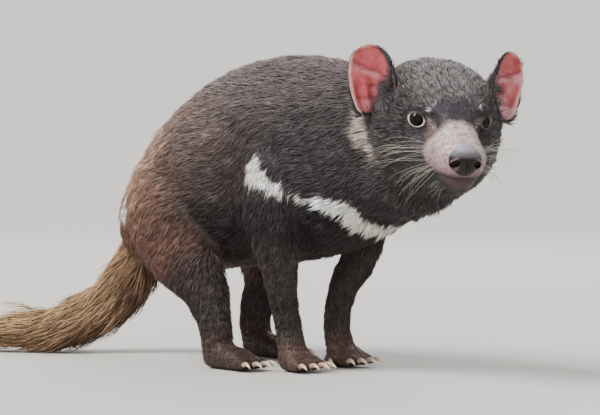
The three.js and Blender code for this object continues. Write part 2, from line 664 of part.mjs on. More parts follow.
for (const { leg, names: [upper, lower, foot] } of LEGS) {
  for (const [side, word] of SIDES) {
    const elbow = new THREE.Vector3(0, 0, leg.parting.upper * body);
    const ankle = new THREE.Vector3(0, 0, leg.parting.paw * body);
    const flank = trunk().intersect(legPatch(leg, side));
    const whole = join([limb(leg, side), paw(leg, side)]).trimByPlane([0, 0, 1], 0);
    animal.add(
      meshOf(`${upper}_${word}`, beyond(whole.add(flank), elbow, UP), COAT),
      meshOf(`${lower}_${word}`, beyond(beyond(whole, elbow, down), ankle, UP), COAT),
      meshOf(`${foot}_${word}`, beyond(whole, ankle, down), PAW_SKIN),
    );
    for (let i = 0; i < leg.toes; i++) {
      const horn = cut(claw(leg, side, i), toe(leg, side, i, GAP));
      const tipwards = horn.decompose().reduce((best, piece) =>
        piece.boundingBox().max[0] > best.boundingBox().max[0] ? piece : best,
      );
      animal.add(meshOf(`claw_${foot}_${word}_${i + 1}`, tipwards, CLAW_HORN));
    }
  }
}

// The origin is on the floor, under the middle of the animal's length and width.
const reach = new THREE.Box3().setFromObject(animal, true);
const middle = reach.getCenter(new THREE.Vector3());
animal.position.set(-middle.x, -middle.y, -reach.min.z);

export default animal;
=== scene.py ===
# A Tasmanian devil, life size, standing with its head turned and its tail laid back on the floor.
# Metres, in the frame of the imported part: +X the way the body faces, +Y its left side, +Z up.

import math

import bmesh
import bpy
import numpy as np
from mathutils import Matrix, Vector
from mathutils.bvhtree import BVHTree


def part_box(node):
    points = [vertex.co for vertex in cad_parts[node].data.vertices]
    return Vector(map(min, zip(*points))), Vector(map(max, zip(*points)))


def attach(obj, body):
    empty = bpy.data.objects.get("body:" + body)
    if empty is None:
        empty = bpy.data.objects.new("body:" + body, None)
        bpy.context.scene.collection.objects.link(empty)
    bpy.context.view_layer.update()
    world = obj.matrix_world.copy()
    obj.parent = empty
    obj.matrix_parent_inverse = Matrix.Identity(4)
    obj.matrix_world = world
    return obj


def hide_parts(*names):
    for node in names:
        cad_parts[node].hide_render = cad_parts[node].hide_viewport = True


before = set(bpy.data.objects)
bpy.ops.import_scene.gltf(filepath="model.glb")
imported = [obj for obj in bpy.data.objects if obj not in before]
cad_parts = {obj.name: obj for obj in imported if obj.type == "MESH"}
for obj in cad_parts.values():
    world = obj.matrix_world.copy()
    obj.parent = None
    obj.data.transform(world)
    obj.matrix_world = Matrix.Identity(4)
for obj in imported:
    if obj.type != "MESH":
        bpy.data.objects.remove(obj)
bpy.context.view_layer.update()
MM = 0.001


# Camera, light and floor. The animal is seen from the front right, a little above its feet, by a
# long lens, against a plain pale ground under wide soft lamps.

CAMERA_AZIMUTH = 47  # degrees, from the animal's right side round to its front
CAMERA_ELEVATION = 5
CAMERA_DISTANCE = 3.1
LENS = 186
SENSOR = 36
PHOTO_WIDTH = 600
PHOTO_HEIGHT = 415
FOOT_PLACE = np.array([0.0943, 0.0215, 0.0])  # a spot on the floor between the feet
FOOT_PIXEL = np.array([330.0, 370.0])  # and where the photo shows it


def aimed(obj, place, target):
    """Puts an object at a place with its -Z axis towards a target and +Y as near up as it goes."""
    obj.location = Vector(place)
    obj.rotation_euler = (Vector(target) - Vector(place)).to_track_quat("-Z", "Y").to_euler()
    bpy.context.scene.collection.objects.link(obj)
    return obj


def camera_axes(azimuth, elevation):
    """Unit vectors to the right of the picture, up in it, and from the scene back to the camera."""
    a, e = math.radians(azimuth), math.radians(elevation)
    right = np.array([math.cos(a), math.sin(a), 0])
    back = np.array([math.sin(a) * math.cos(e), -math.cos(a) * math.cos(e), math.sin(e)])
    return right, np.cross(back, right), back


right, up, back = camera_axes(CAMERA_AZIMUTH, CAMERA_ELEVATION)
camera_place = FOOT_PLACE + CAMERA_DISTANCE * back
focal_pixels = LENS / SENSOR * PHOTO_WIDTH
off_centre = (np.array([PHOTO_WIDTH, PHOTO_HEIGHT]) / 2 - FOOT_PIXEL) / focal_pixels
view_line = -back + right * off_centre[0] - up * off_centre[1]
camera_data = bpy.data.cameras.new("camera")
camera_data.lens = LENS
camera_data.sensor_width = SENSOR
camera_data.clip_end = 60
camera = aimed(bpy.data.objects.new("camera", camera_data), camera_place, camera_place + view_line)
bpy.context.scene.camera = camera

SUN_POWER = 4.8
SUN_SPREAD = 0.5
SUN_COLOUR = (1.0, 0.98, 0.95)
ROOM_COLOUR = (1.0, 0.985, 0.96, 1)
ROOM_LIGHT = 1.08
SUN_FROM = -0.75 * right + 1.0 * up + 0.45 * back  # over the animal's rump side and a little in front
LAMPS = [
    # name, place, size, power in watts, colour
    ("front", (1.7, -1.9, 1.0), 1.8, 26, (1.0, 0.98, 0.95)),
    ("behind", (-1.5, 1.9, 1.8), 1.5, 26, (1.0, 0.97, 0.93)),
]
for name, place, size, power, colour in LAMPS:
    lamp = bpy.data.lights.new(name, "AREA")
    lamp.size = size
    lamp.energy = power
    lamp.color = colour
    aimed(bpy.data.objects.new(name, lamp), place, (0, 0, 0.15)).visible_glossy = name == "behind"
sun = bpy.data.lights.new("sky_window", "SUN")
sun.energy = SUN_POWER
sun.angle = SUN_SPREAD
sun.color = SUN_COLOUR
aimed(bpy.data.objects.new("sky_window", sun), 3 * SUN_FROM, (0, 0, 0))

world = bpy.data.worlds.new("pale_room")
world.use_nodes = True
background = world.node_tree.nodes["Background"]
background.inputs["Color"].default_value = ROOM_COLOUR
background.inputs["Strength"].default_value = ROOM_LIGHT
bpy.context.scene.world = world


def material(name, **values):
    """A material with one Principled shader, whose sockets are set by name."""
    made = bpy.data.materials.new(name)
    made.use_nodes = True
    shader = made.node_tree.nodes["Principled BSDF"]
    for socket, value in values.items():
        shader.inputs[socket.replace("_", " ")].default_value = value
    return made, made.node_tree, shader


def piece(name, points, *faces, made_of=None):
    """A smooth mesh object from an array of points and arrays of triangles or of quads."""
    mesh = bpy.data.meshes.new(name)
    sizes = np.concatenate([np.full(len(f), f.shape[1]) for f in faces])
    corners = np.concatenate([f.ravel() for f in faces])
    mesh.vertices.add(len(points))
    mesh.vertices.foreach_set("co", np.asarray(points, np.float32).ravel())
    mesh.loops.add(len(corners))
    mesh.loops.foreach_set("vertex_index", corners.astype(np.int32))
    mesh.polygons.add(len(sizes))
    mesh.polygons.foreach_set("loop_start", (np.cumsum(sizes) - sizes).astype(np.int32))
    mesh.polygons.foreach_set("use_smooth", np.ones(len(sizes), bool))
    mesh.update(calc_edges=True)
    obj = bpy.data.objects.new(name, mesh)
    if made_of:
        mesh.materials.append(made_of)
    bpy.context.scene.collection.objects.link(obj)
    return obj


FLOOR_HALF = 28
pale, _, _ = material("pale_floor", Base_Color=(0.485, 0.474, 0.455, 1), Roughness=0.8)
corners = FLOOR_HALF * np.array([[-1, -1, 0], [1, -1, 0], [1, 1, 0], [-1, 1, 0]])
piece("floor", corners, np.array([[0, 1, 2, 3]]), made_of=pale)


# The head's own frame, which the face, nose, eyes, ears and whiskers are laid out in: the origin
# is midway between the eyes, x runs to the nose, y to the animal's left and z to the crown.

HEAD_LENGTH = 0.160
NOSE_AT = np.array([0.43, 0, -0.14]) * HEAD_LENGTH


SIDES = {-1: "right", 1: "left"}  # the sign of y on each side of the animal


def middle_of(node):
    """The middle of a solid's box."""
    low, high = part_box(node)
    return np.array((low + high) / 2)


head_at = (middle_of("eye_right") + middle_of("eye_left")) / 2
head_y = middle_of("eye_left") - middle_of("eye_right")
head_y = head_y / np.linalg.norm(head_y)
to_nose = middle_of("nose") - head_at
to_nose = to_nose / np.linalg.norm(to_nose)
droop = math.atan2(-NOSE_AT[2], NOSE_AT[0])
across = np.cross(to_nose, head_y)
head_x = to_nose * math.cos(droop) + across * math.sin(droop)
head_turn = np.stack([head_x, head_y, np.cross(head_x, head_y)])


def in_head(points):
    """Points of the row frame, as the head's own coordinates in millimetres."""
    return (points - head_at) @ head_turn.T / MM


def from_head(points):
    """The way back: points in the row frame, from the head's own coordinates."""
    return points * MM @ head_turn + head_at


# Skin: one closed surface under the whole coat. The solids of head, jaw, neck, trunk, legs and
# paws and a core for the tail are remeshed as one, smoothed, and drawn in by the coat's depth.
# The face is then refined and modelled: lids, lips, brows and wrinkles.

FLESH = ["head", "lower_jaw", "neck", "torso", "rump"]
for side in SIDES.values():
    for part in ["upper_arm", "forearm", "forepaw", "thigh", "shank", "hindpaw"]:
        FLESH.append(f"{part}_{side}")
FILLING = ["eye_right", "eye_left", "nose"]  # these close the face while its skin is made
VOXEL = 3.1 * MM
SMOOTHING_ROUNDS = 40
TAIL_ROWS = np.array([
    # x, y, z, half width and half height of the coat's outline, in millimetres
    [-195, 0, 150, 25, 25],
    [-217, -2.5, 120, 28, 28],
    [-237, -11, 84, 29, 29.5],
    [-260, -29, 51, 29, 30],
    [-290, -57.5, 30.5, 27, 29],
    [-325, -87.5, 24, 23.5, 24],
    [-357, -111, 20, 18.5, 19],
    [-382, -127.5, 17.5, 11.5, 11.5],
])
TAIL_SHIFT = np.array([34.3, 21.5, 0, 0, 0])  # from the animal's own origin to the row's
TAIL_FLESH = ([0, 0.15, 0.4, 1], [0.95, 0.87, 0.60, 0.42])  # of the outline, along the tail
TAIL_ROUND = 28
TAIL_STEPS = 60


def smooth_line(rows, t):
    """Catmull-Rom interpolation of rows, for an array t from 0 to 1 over the whole of them."""
    padded = np.vstack([2 * rows[0] - rows[1], rows, 2 * rows[-1] - rows[-2]])
    place = np.clip(t, 0, 1) * (len(rows) - 1)
    i = np.minimum(place.astype(int), len(rows) - 2)
    f = (place - i)[:, None]
    a, b, c, d = (padded[i + k] for k in range(4))
    return 0.5 * (2 * b + (c - a) * f + (2 * a - 5 * b + 4 * c - d) * f**2 + (3 * b - a - 3 * c + d) * f**3)


def unit(vectors):
    """Vectors divided by their own lengths."""
    return vectors / np.maximum(np.linalg.norm(vectors, axis=-1, keepdims=True), 1e-12)


def ease(x, low, high):
    """0 below low, 1 above high, and 3t^2 - 2t^3 between them."""
    t = np.clip((x - low) / (high - low), 0, 1)
    return t * t * (3 - 2 * t)


def fade(x, low, high):
    """1 below low, 0 above high: what ease leaves."""
    return 1 - ease(x, low, high)


def turns(number):
    """Angles of a number of even steps once round."""
    return np.linspace(0, 2 * np.pi, number, endpoint=False)


def globe(rings, around, gap):
    """Grids of the angle from a ball's pole, which stops short of both poles by a gap, and of the
    angle round it."""
    return np.meshgrid(np.linspace(gap, np.pi - gap, rings), turns(around), indexing="ij")


def tube_faces(rings, around):
    """Quads between closed rings, and fans that close the two ends on the last two points."""
    i, j = np.meshgrid(np.arange(rings - 1), np.arange(around), indexing="ij")
    k = (j + 1) % around
    quads = np.stack([i * around + j, i * around + k, (i + 1) * around + k, (i + 1) * around + j], -1)
    j = np.arange(around)
    k = (j + 1) % around
    last = (rings - 1) * around
    first_cap = np.stack([k, j, np.full(around, rings * around)], -1)
    end_cap = np.stack([last + j, last + k, np.full(around, rings * around + 1)], -1)
    return quads.reshape(-1, 4), np.concatenate([first_cap, end_cap])


tail_rows = (TAIL_ROWS + TAIL_SHIFT) * MM


def tail_frame(t):
    """Centre, tangent, side and top unit vectors and half sizes of the tail at places t."""
    rows = smooth_line(tail_rows, t)
    ahead = smooth_line(tail_rows, np.minimum(t + 0.01, 1)) - smooth_line(tail_rows, np.maximum(t - 0.01, 0))
    along = unit(ahead[:, :3])
    side = unit(np.cross([0, 0, 1], along))
    return rows[:, :3], along, side, np.cross(along, side), rows[:, 3:]


def tail_core(name):
    """The tail's flesh: ellipses along its line, full at the root and thin from there on."""
    t = np.linspace(0, 0.97, TAIL_STEPS)
    centre, _, side, top, half = tail_frame(t)
    share = np.interp(t, *TAIL_FLESH) * np.sqrt(1 - (t / 0.975) ** 24)
    angle = turns(TAIL_ROUND)
    ring = (side[:, None] * (np.cos(angle)[:, None] * half[:, None, :1])
            + top[:, None] * (np.sin(angle)[:, None] * half[:, None, 1:]))
    points = centre[:, None] + ring * share[:, None, None]
    points = np.concatenate([points.reshape(-1, 3), centre[[0, -1]]])
    return piece(name, points, *tube_faces(len(t), TAIL_ROUND))


def merged_copy(node):
    """A copy of a solid's mesh with its loose corners merged."""
    obj = bpy.data.objects.new("part_of_" + node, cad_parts[node].data.copy())
    bpy.context.scene.collection.objects.link(obj)
    soup = bmesh.new()
    soup.from_mesh(obj.data)
    bmesh.ops.remove_doubles(soup, verts=soup.verts, dist=1e-5)
    soup.to_mesh(obj.data)
    soup.free()
    return obj


def joined(objects, name):
    """One mesh object from several, which are removed."""
    soup = bmesh.new()
    for obj in objects:
        soup.from_mesh(obj.data)
        bpy.data.objects.remove(obj)
    mesh = bpy.data.meshes.new(name)
    soup.to_mesh(mesh)
    soup.free()
    obj = bpy.data.objects.new(name, mesh)
    bpy.context.scene.collection.objects.link(obj)
    return obj


def applied(obj):
    """Puts the result of an object's modifiers into its mesh."""
    depsgraph = bpy.context.evaluated_depsgraph_get()
    mesh = bpy.data.meshes.new_from_object(obj.evaluated_get(depsgraph))
    obj.modifiers.clear()
    obj.data = mesh
    return obj


def listed(items, name, width=1, kind=np.int32):
    """One property of all items of a mesh, as an array with so many numbers in a row."""
    found = np.empty(len(items) * width, kind)
    items.foreach_get(name, found)
    return found.reshape(-1, width) if width > 1 else found


def points_of(mesh):
    """The places of a mesh's points."""
    return listed(mesh.vertices, "co", 3, np.float32).astype(float)


def normals_of(mesh):
    """The unit normals at a mesh's points."""
    return listed(mesh.vertex_normals, "vector", 3, np.float32).astype(float)


def set_points(mesh, points):
    """Puts a mesh's points at new places."""
    mesh.vertices.foreach_set("co", points.astype(np.float32).ravel())
    mesh.update()


def neighbour_mean(values, edges):
    """For each point of a mesh, the mean of its neighbours' values."""
    a, b = edges.T
    count = np.maximum(np.bincount(edges.ravel(), minlength=len(values)), 1)
    columns = [np.bincount(a, v[b], len(values)) + np.bincount(b, v[a], len(values)) for v in values.T]
    return np.stack(columns, -1) / count[:, None]


def smoothed(points, edges, rounds, weight=1.0):
    """Taubin smoothing: each round moves points towards their neighbours' mean, then a little
    further back out, so that facets go and the volume stays."""
    weight = np.broadcast_to(weight, len(points))[:, None]
    for share in [0.6, -0.62] * rounds:
        points = points + share * weight * (neighbour_mean(points, edges) - points)
    return points


skin = joined([merged_copy(node) for node in FLESH + FILLING] + [tail_core("tail_core")], "skin")
remesh = skin.modifiers.new("one_surface", "REMESH")
remesh.mode = "VOXEL"
remesh.voxel_size = VOXEL
applied(skin)
edges = listed(skin.data.edges, "vertices", 2)
skin_points = smoothed(points_of(skin.data), edges, SMOOTHING_ROUNDS)
set_points(skin.data, skin_points)

# What the hair does on each part: its way, its length, how deep the skin lies under the outline,
# half the width of a tuft (all in millimetres), how far a tuft rises in degrees, and tufts per mm2.
HAIR = {
    "torso": ((-1, 0, -0.34), 17, 3.0, 0.56, 17, 0.25),
    "rump": ((-0.85, 0, -0.6), 18, 2.7, 0.58, 18, 0.25),
    "neck": ((-0.9, 0.18, -0.42), 16, 3.6, 0.55, 19, 0.29),
    "head": ((-1, 0, 0), 9, 2.6, 0.5, 20, 0.5),
    "lower_jaw": ((-1, 0, -0.2), 7, 1.6, 0.42, 16, 0.45),
    "upper_arm": ((-0.4, 0, -1), 13, 2.8, 0.54, 15, 0.27),
    "forearm": ((-0.08, 0, -1), 9, 2.0, 0.46, 13, 0.38),
    "forepaw": ((1, 0, -0.35), 4.5, 0.7, 0.30, 14, 0.42),
    "thigh": ((-0.5, 0, -1), 16, 3.2, 0.56, 16, 0.26),
    "shank": ((-0.05, 0, -1), 10, 2.2, 0.48, 13, 0.36),
    "hindpaw": ((1, 0, -0.3), 4.5, 0.7, 0.30, 14, 0.42),
    "tail": ((-1, 0, 0), 30, 0, 0.75, 30, 0.32),
}
AREA_SAMPLES = 160
BLENDING_ROUNDS = 45
SETTLING_ROUNDS = 6
SEARCHES = 40  # nearest points are looked for in so many batches
MAP_ANGLE = 72  # degrees between the faces of one island of the skin's map
MAP_MARGIN = 0.0015


def nearest_part(points):
    """The number in HAIR of the solid whose corners lie nearest to each point."""
    samples, owner = [], []
    for node in FLESH + ["tail_root", "tail_middle", "tail_tip"]:
        corners = points_of(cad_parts[node].data)
        wanted = AREA_SAMPLES * (3 if node in ("torso", "rump", "head") else 1)
        corners = corners[:: max(1, len(corners) // wanted)]
        word = "tail" if node.startswith("tail") else node.replace("_right", "").replace("_left", "")
        samples.append(corners)
        owner.append(np.full(len(corners), list(HAIR).index(word)))
    samples, owner = np.concatenate(samples), np.concatenate(owner)
    found = []
    for chunk in np.array_split(points, SEARCHES):
        far = (chunk**2).sum(1)[:, None] - 2 * chunk @ samples.T + (samples**2).sum(1)
        found.append(owner[far.argmin(1)])
    return np.concatenate(found)


part = nearest_part(skin_points)
names = list(HAIR)
lie = np.array([HAIR[word][0] for word in names], float)[part]
coat = np.array([HAIR[word][1:] for word in names], float)[part]  # length, depth, width, rise, number
skin_in_head = in_head(skin_points)

on_head = (part == names.index("head")) | (part == names.index("lower_jaw"))
NOSE_TIP = np.array([74, 0, -18])
lie[on_head] = (unit((skin_in_head - NOSE_TIP) * [1, 1, 1.15])[on_head]) @ head_turn
x = skin_in_head[:, 0]
FACE_HAIR = np.array([
    # at this many millimetres ahead of the eyes: length, depth, half width, rise, number
    [-70, 16, 4.4, 0.66, 22, 0.26],
    [-40, 14, 4.2, 0.56, 24, 0.36],
    [-18, 10.5, 3.2, 0.46, 22, 0.55],
    [2, 7.5, 1.6, 0.38, 18, 0.8],
    [22, 5.0, 0.9, 0.3, 14, 0.9],
    [36, 2.6, 0.5, 0.2, 11, 0.9],
    [62, 1.6, 0.3, 0.16, 10, 0.7],
])
for k in range(5):
    coat[on_head, k] = np.interp(x[on_head], FACE_HAIR[:, 0], FACE_HAIR[:, k + 1])

tail_places = np.linspace(0, 1, TAIL_STEPS)
tail_centres, tail_along, _, _, _ = tail_frame(tail_places)
on_tail = part == names.index("tail")
near_tail = ((skin_points[on_tail][:, None] - tail_centres) ** 2).sum(-1).argmin(1)
lie[on_tail] = tail_along[near_tail]
coat[on_tail, 0] = np.interp(tail_places[near_tail], [0, 0.25, 0.55, 1], [20, 32, 42, 26])
coat[on_tail, 3] = np.interp(tail_places[near_tail], [0, 0.2, 0.45, 1], [18, 26, 35, 30])
coat[on_tail, 1] = np.interp(tail_places[near_tail], [0, 0.2], [2.5, 0])

normals = normals_of(skin.data)
for _ in range(BLENDING_ROUNDS):
    lie = 0.4 * lie + 0.6 * neighbour_mean(lie, edges)
    coat = 0.4 * coat + 0.6 * neighbour_mean(coat, edges)
skin_points = skin_points - normals * coat[:, 1:2] * MM
skin_points = smoothed(skin_points, edges, SETTLING_ROUNDS)
set_points(skin.data, skin_points)
FIELDS = ["lie", "coat_sizes", "coat_number"]  # carried by the skin while its face is refined
for name, values in zip(FIELDS, (lie, coat[:, [0, 2, 3]], coat[:, [4, 1, 1]])):
    field = skin.data.attributes.new(name, "FLOAT_VECTOR", "POINT")
    field.data.foreach_set("vector", values.astype(np.float32).ravel())

bpy.context.view_layer.objects.active = skin
skin.select_set(True)
bpy.ops.object.mode_set(mode="EDIT")
bpy.ops.mesh.select_all(action="SELECT")
bpy.ops.uv.smart_project(angle_limit=math.radians(MAP_ANGLE), island_margin=MAP_MARGIN)
bpy.ops.object.mode_set(mode="OBJECT")
skin.data.uv_layers[0].name = "OFBake"

# The face is refined three times over ever smaller stretches.
REFINING_ROUNDS = 8
EYE_RADIUS = 9
EYE_SHIFT = {-1: (0.0, -2.0, 1.5), 1: (-2.0, 5.6, 1.3)}  # from the solids' eyeballs
eye_places = {side: in_head(middle_of(f"eye_{word}")) + EYE_SHIFT[side]
              for side, word in SIDES.items()}


def eye_distance(points):
    """How far points are from the nearer eye's middle."""
    return np.minimum(*(np.linalg.norm(points - place, axis=-1) for place in eye_places.values()))


STRETCHES = [
    lambda h: h[:, 0] > -14,
    lambda h: (eye_distance(h) < 20) | ((h[:, 0] > 26) & (h[:, 0] < 120)),
    lambda h: eye_distance(h) < 14.5,
]
for stretch in STRETCHES:
    chosen = stretch(in_head(listed(skin.data.polygons, "center", 3, np.float32)))
    corner_edges = listed(skin.data.loops, "edge_index")
    inside = np.unique(corner_edges[np.repeat(chosen, listed(skin.data.polygons, "loop_total"))])
    face_mesh = bmesh.new()
    face_mesh.from_mesh(skin.data)
    face_mesh.edges.ensure_lookup_table()
    split = [face_mesh.edges[i] for i in inside.tolist()]
    bmesh.ops.subdivide_edges(face_mesh, edges=split, cuts=1, use_grid_fill=True)
    bmesh.ops.triangulate(face_mesh, faces=[face for face in face_mesh.faces if len(face.verts) > 4])
    face_mesh.to_mesh(skin.data)
    face_mesh.free()
    points = points_of(skin.data)
    weight = stretch(in_head(points)).astype(float)
    refined_edges = listed(skin.data.edges, "vertices", 2)
    set_points(skin.data, smoothed(points, refined_edges, REFINING_ROUNDS, weight))


# Modelling of the face, in the head's frame and in millimetres.
NOSE_HALF = np.array([0.058, 0.096, 0.094]) * HEAD_LENGTH / MM
NOSE_MIDDLE = NOSE_AT / MM + np.array([0.3, 0, -0.8])
GAZE_OUT = math.radians(35)
EYE_OPENING = {"inner": 6.1, "outer": 5.5, "above": 4.5, "below": 4.7, "slant": 0.14}
EYE_OPEN = {-1: 1.0, 1: 0.80}  # the left eye is open less wide
LIPS = np.array([
    # line of the mouth from its corner to under the nose: x and z
    [-14.4, -70], [-9.6, -59.2], [3.2, -48], [19.2, -44.8], [41.6, -44.8], [60.8, -42.4], [96, -40.8],
])
LIP_CORNER = 4


def over_lips(points):
    """Height over the mouth's line, which rises to the sides of the muzzle by y^2 * 0.007."""
    x, y, z = points.T
    return z - np.interp(x, LIPS[:, 0], LIPS[:, 1]) - 0.007 * y**2 * ease(x, 28, 46)


def ripple(points, size, seed, waves=7):
    """Smooth noise from about -1 to 1: the sum of sine waves of one length in random ways."""
    dice = np.random.default_rng(seed)
    ways = unit(dice.normal(size=(waves, 3))) * (2 * np.pi / size) * dice.uniform(0.7, 1.4, (waves, 1))
    return np.sin(points @ ways.T + dice.uniform(0, 2 * np.pi, waves)).sum(-1) * (1.4 / waves)


def mound(*terms):
    """exp(-s), with s the sum of ((value - middle) / width)^2 over the terms."""
    power = 0
    for value, middle, width in terms:
        power = power - ((value - middle) / width) ** 2
    return np.exp(power)


def eye_view(points, side):
    """A point's place seen along the eye's gaze: across towards the nose, up and out from it."""
    gaze = np.array([math.cos(GAZE_OUT), side * math.sin(GAZE_OUT), 0])
    inwards = np.array([math.sin(GAZE_OUT), -side * math.cos(GAZE_OUT), 0])
    offset = points - eye_places[side]
    across, out = offset @ inwards, offset @ gaze
    rise = offset[:, 2] + EYE_OPENING["slant"] * across
    return across, rise, out, offset


def opening_share(across, rise, side):
    """1 on the edge of the lids' opening, less inside it and more outside."""
    wide = np.where(across > 0, EYE_OPENING["inner"], EYE_OPENING["outer"])
    high = np.where(rise > 0, EYE_OPENING["above"], EYE_OPENING["below"])
    return np.sqrt((across / wide) ** 2 + (rise / high) ** 2) / EYE_OPEN[side]


def nearest_opening(points):
    """The share for the eye that a point lies in front of, and 9 elsewhere."""
    seen = [eye_view(points, side)[:3] for side in SIDES]
    return np.min([np.where(out > 1, opening_share(across, rise, side), 9)
                   for side, (across, rise, out) in zip(SIDES, seen)], axis=0)


def lids_on(points):
    """Round each eye the skin is laid on spheres about the eyeball, whose radius depends on the
    place in the opening: under the ball's surface inside it, a thick rim on its edge, a crease
    behind the rim, and the face's own form from twice the opening's size on."""
    for side in SIDES:
        across, rise, out, offset = eye_view(points, side)
        share = opening_share(across, rise, side)
        radius = np.interp(share, [0, 0.86, 0.94, 1.0, 1.2, 1.42, 1.62, 1.95, 2.7],
                           np.array([-2.2, -2.0, -0.4, 0.9, 1.35, 1.15, 0.6, 1.3, 2.2]) + EYE_RADIUS)
        weight = fade(share, 1.8, 2.8) * (out > 1)
        far = np.linalg.norm(offset, axis=1)
        wanted = eye_places[side] + offset * (radius / np.maximum(far, 1e-6))[:, None]
        points = points + weight[:, None] * (wanted - points)
    return points


def nose_taper(z):
    """The pad's width at a height over its middle, as a share: it narrows below the nostrils, and
    a little at the top."""
    return 1.03 - 0.30 * ease(-z, 5, 15) - 0.25 * ease(z, 0, 13)


def nose_seat(points):
    """Skin that would cover the nose pad is drawn in behind the pad's surface."""
    offset = points - NOSE_MIDDLE
    taper = nose_taper(offset[:, 2])
    offset[:, 1] /= taper
    share = np.linalg.norm(offset / NOSE_HALF, axis=1)
    wanted = np.where(share < 1.5, np.interp(share, [0, 0.9, 1.08, 1.5], [0.35, 0.45, 0.97, 1.5]), share)
    offset = offset * (wanted / np.maximum(share, 1e-6))[:, None]
    offset[:, 1] *= taper
    return NOSE_MIDDLE + offset


CHIN_WAY = np.array([0.45, 0, -0.89])


def follicles(points):
    """From -1 to 1: bumps in slanting rows on the sides of the muzzle, where the whiskers root."""
    x, y, z = points.T
    pad = ease(x, 26, 38) * ease(np.abs(y), 6, 14)
    uneven = 1.1 * ripple(points, 9, 8)
    return pad * np.sin((z + 0.35 * x) * 0.95 + uneven) * np.sin(x * 0.75 + 0.6 + 1.3 * ripple(points, 10, 9))


def drawn_in(points):
    """The bridge between the eyes and the lower edges of the muzzle keep only a share of their
    distance from the middle plane."""
    x, y, z = points.T
    pinch = np.where(y > 0, 0.20, 0.32)
    bridge = pinch * ease(x, 1, 17) * fade(x, 44, 62) * ease(z, -27, -8) * fade(z, 5, 17)
    below = 0.26 * ease(x, 16, 42) * ease(-z, 26, 48) * fade(-z, 60, 76)
    keep = 1 - bridge * ease(np.abs(y), 5, 14) - below
    return np.stack([x, y * keep, z], -1)


def mouth_and_folds(points, ways):
    """Moves along the normals: a groove on the lips' line with a roll above and below it, a low
    brow over each eye, a bag under it, a furrow from its inner corner, and small wrinkles."""
    x, y, z = points.T
    over = over_lips(points)
    front = ease(x, LIP_CORNER, LIP_CORNER + 10)
    move = front * (
        -1.7 * mound((over, 0, 0.75)) + 0.9 * mound((over, 2.6, 2.0)) + 0.6 * mound((over, -2.5, 1.8)))
    for side in SIDES:
        across, rise, out, _ = eye_view(points, side)
        brow = 1.7 * mound((across, 1, 9), (rise, 11.5, 3.2))
        bag = 1.0 * mound((across, 1, 8), (rise, -10.5, 2.2))
        under = -0.8 * mound((across, 2, 8), (rise, -13.5, 1.6))
        tear = -1.5 * mound((rise + 2.5 + 0.55 * (across - 8), 0, 1.8))
        tear = tear * ease(across, 6, 9) * fade(across, 13, 21)
        move += mound((out, 9, 14)) * (brow + bag + under + tear)
    bridge = ease(x, 20, 34) * fade(x, 52, 62) * mound((y, 0, 15)) * ease(z, -16, -6)
    move += 0.38 * bridge * np.sin(x * 1.35 + 0.02 * y**2 + 0.8 * ripple(points, 14, 3))
    move += 0.16 * follicles(points) + 0.26 * ease(x, 10, 30) * ripple(points, 4.2, 5)
    move += 0.5 * ease(x, 22, 36) * ripple(points, 13, 6)
    chin = 6.6 * mound((x, 54, 12), (y, 0, 13), (z, -50, 7.5))
    return points + ways * move[:, None] + chin[:, None] * CHIN_WAY


points = drawn_in(in_head(points_of(skin.data)))
set_points(skin.data, from_head(points))
ways = normals_of(skin.data) @ head_turn.T
points = mouth_and_folds(points, ways)
points = nose_seat(lids_on(points))
set_points(skin.data, from_head(points))

# Colour of the coat and of the bare skin, the same for both. Near-black, browner to the rear,
# with white bars, a bare pinkish muzzle and a grey bristly crown.

INK = np.array([0.019, 0.0165, 0.017])
SHADE = np.array([0.045, 0.038, 0.041])
# the top of the back and the loins: browner hair with painted sheen where the light falls
BACK_WITH_SHEEN = np.array([0.118, 0.091, 0.091])
LOIN_SHEEN = np.array([0.21, 0.155, 0.14])
FLANK = np.array([0.064, 0.044, 0.041])
RUST = np.array([0.36, 0.200, 0.135])
# painted sheen of backlit hair on the rump's rear edge
REAR_SHEEN = np.array([0.50, 0.365, 0.285])
THIGH = np.array([0.17, 0.084, 0.066])
SHANK = np.array([0.045, 0.034, 0.034])
TAIL_ROOT = np.array([0.185, 0.088, 0.048])
# the tail's top and underside carry painted light and shade over its brown
LIT_TAIL_TOP = np.array([0.39, 0.255, 0.135])
TAIL_SIDE = np.array([0.225, 0.138, 0.076])
SHADED_TAIL_BELOW = np.array([0.085, 0.048, 0.028])
GREY = np.array([0.105, 0.096, 0.102])
BLUE_BLACK = np.array([0.040, 0.036, 0.048])
MUZZLE = np.array([0.47, 0.375, 0.37])
MUZZLE_SPOT = np.array([0.24, 0.155, 0.155])
MUZZLE_SIDE = np.array([0.27, 0.185, 0.19])
FOLLICLE = np.array([0.13, 0.085, 0.085])
BRISTLE = np.array([0.22, 0.125, 0.085])
CHIN_SKIN = np.array([0.048, 0.027, 0.026])
WHITE = np.array([0.94, 0.94, 0.93])
CREAM = np.array([0.84, 0.76, 0.66])
TAN = np.array([0.44, 0.36, 0.31])
PAW = np.array([0.115, 0.062, 0.050])
RIM = np.array([0.72, 0.55, 0.52])  # of the eyelids

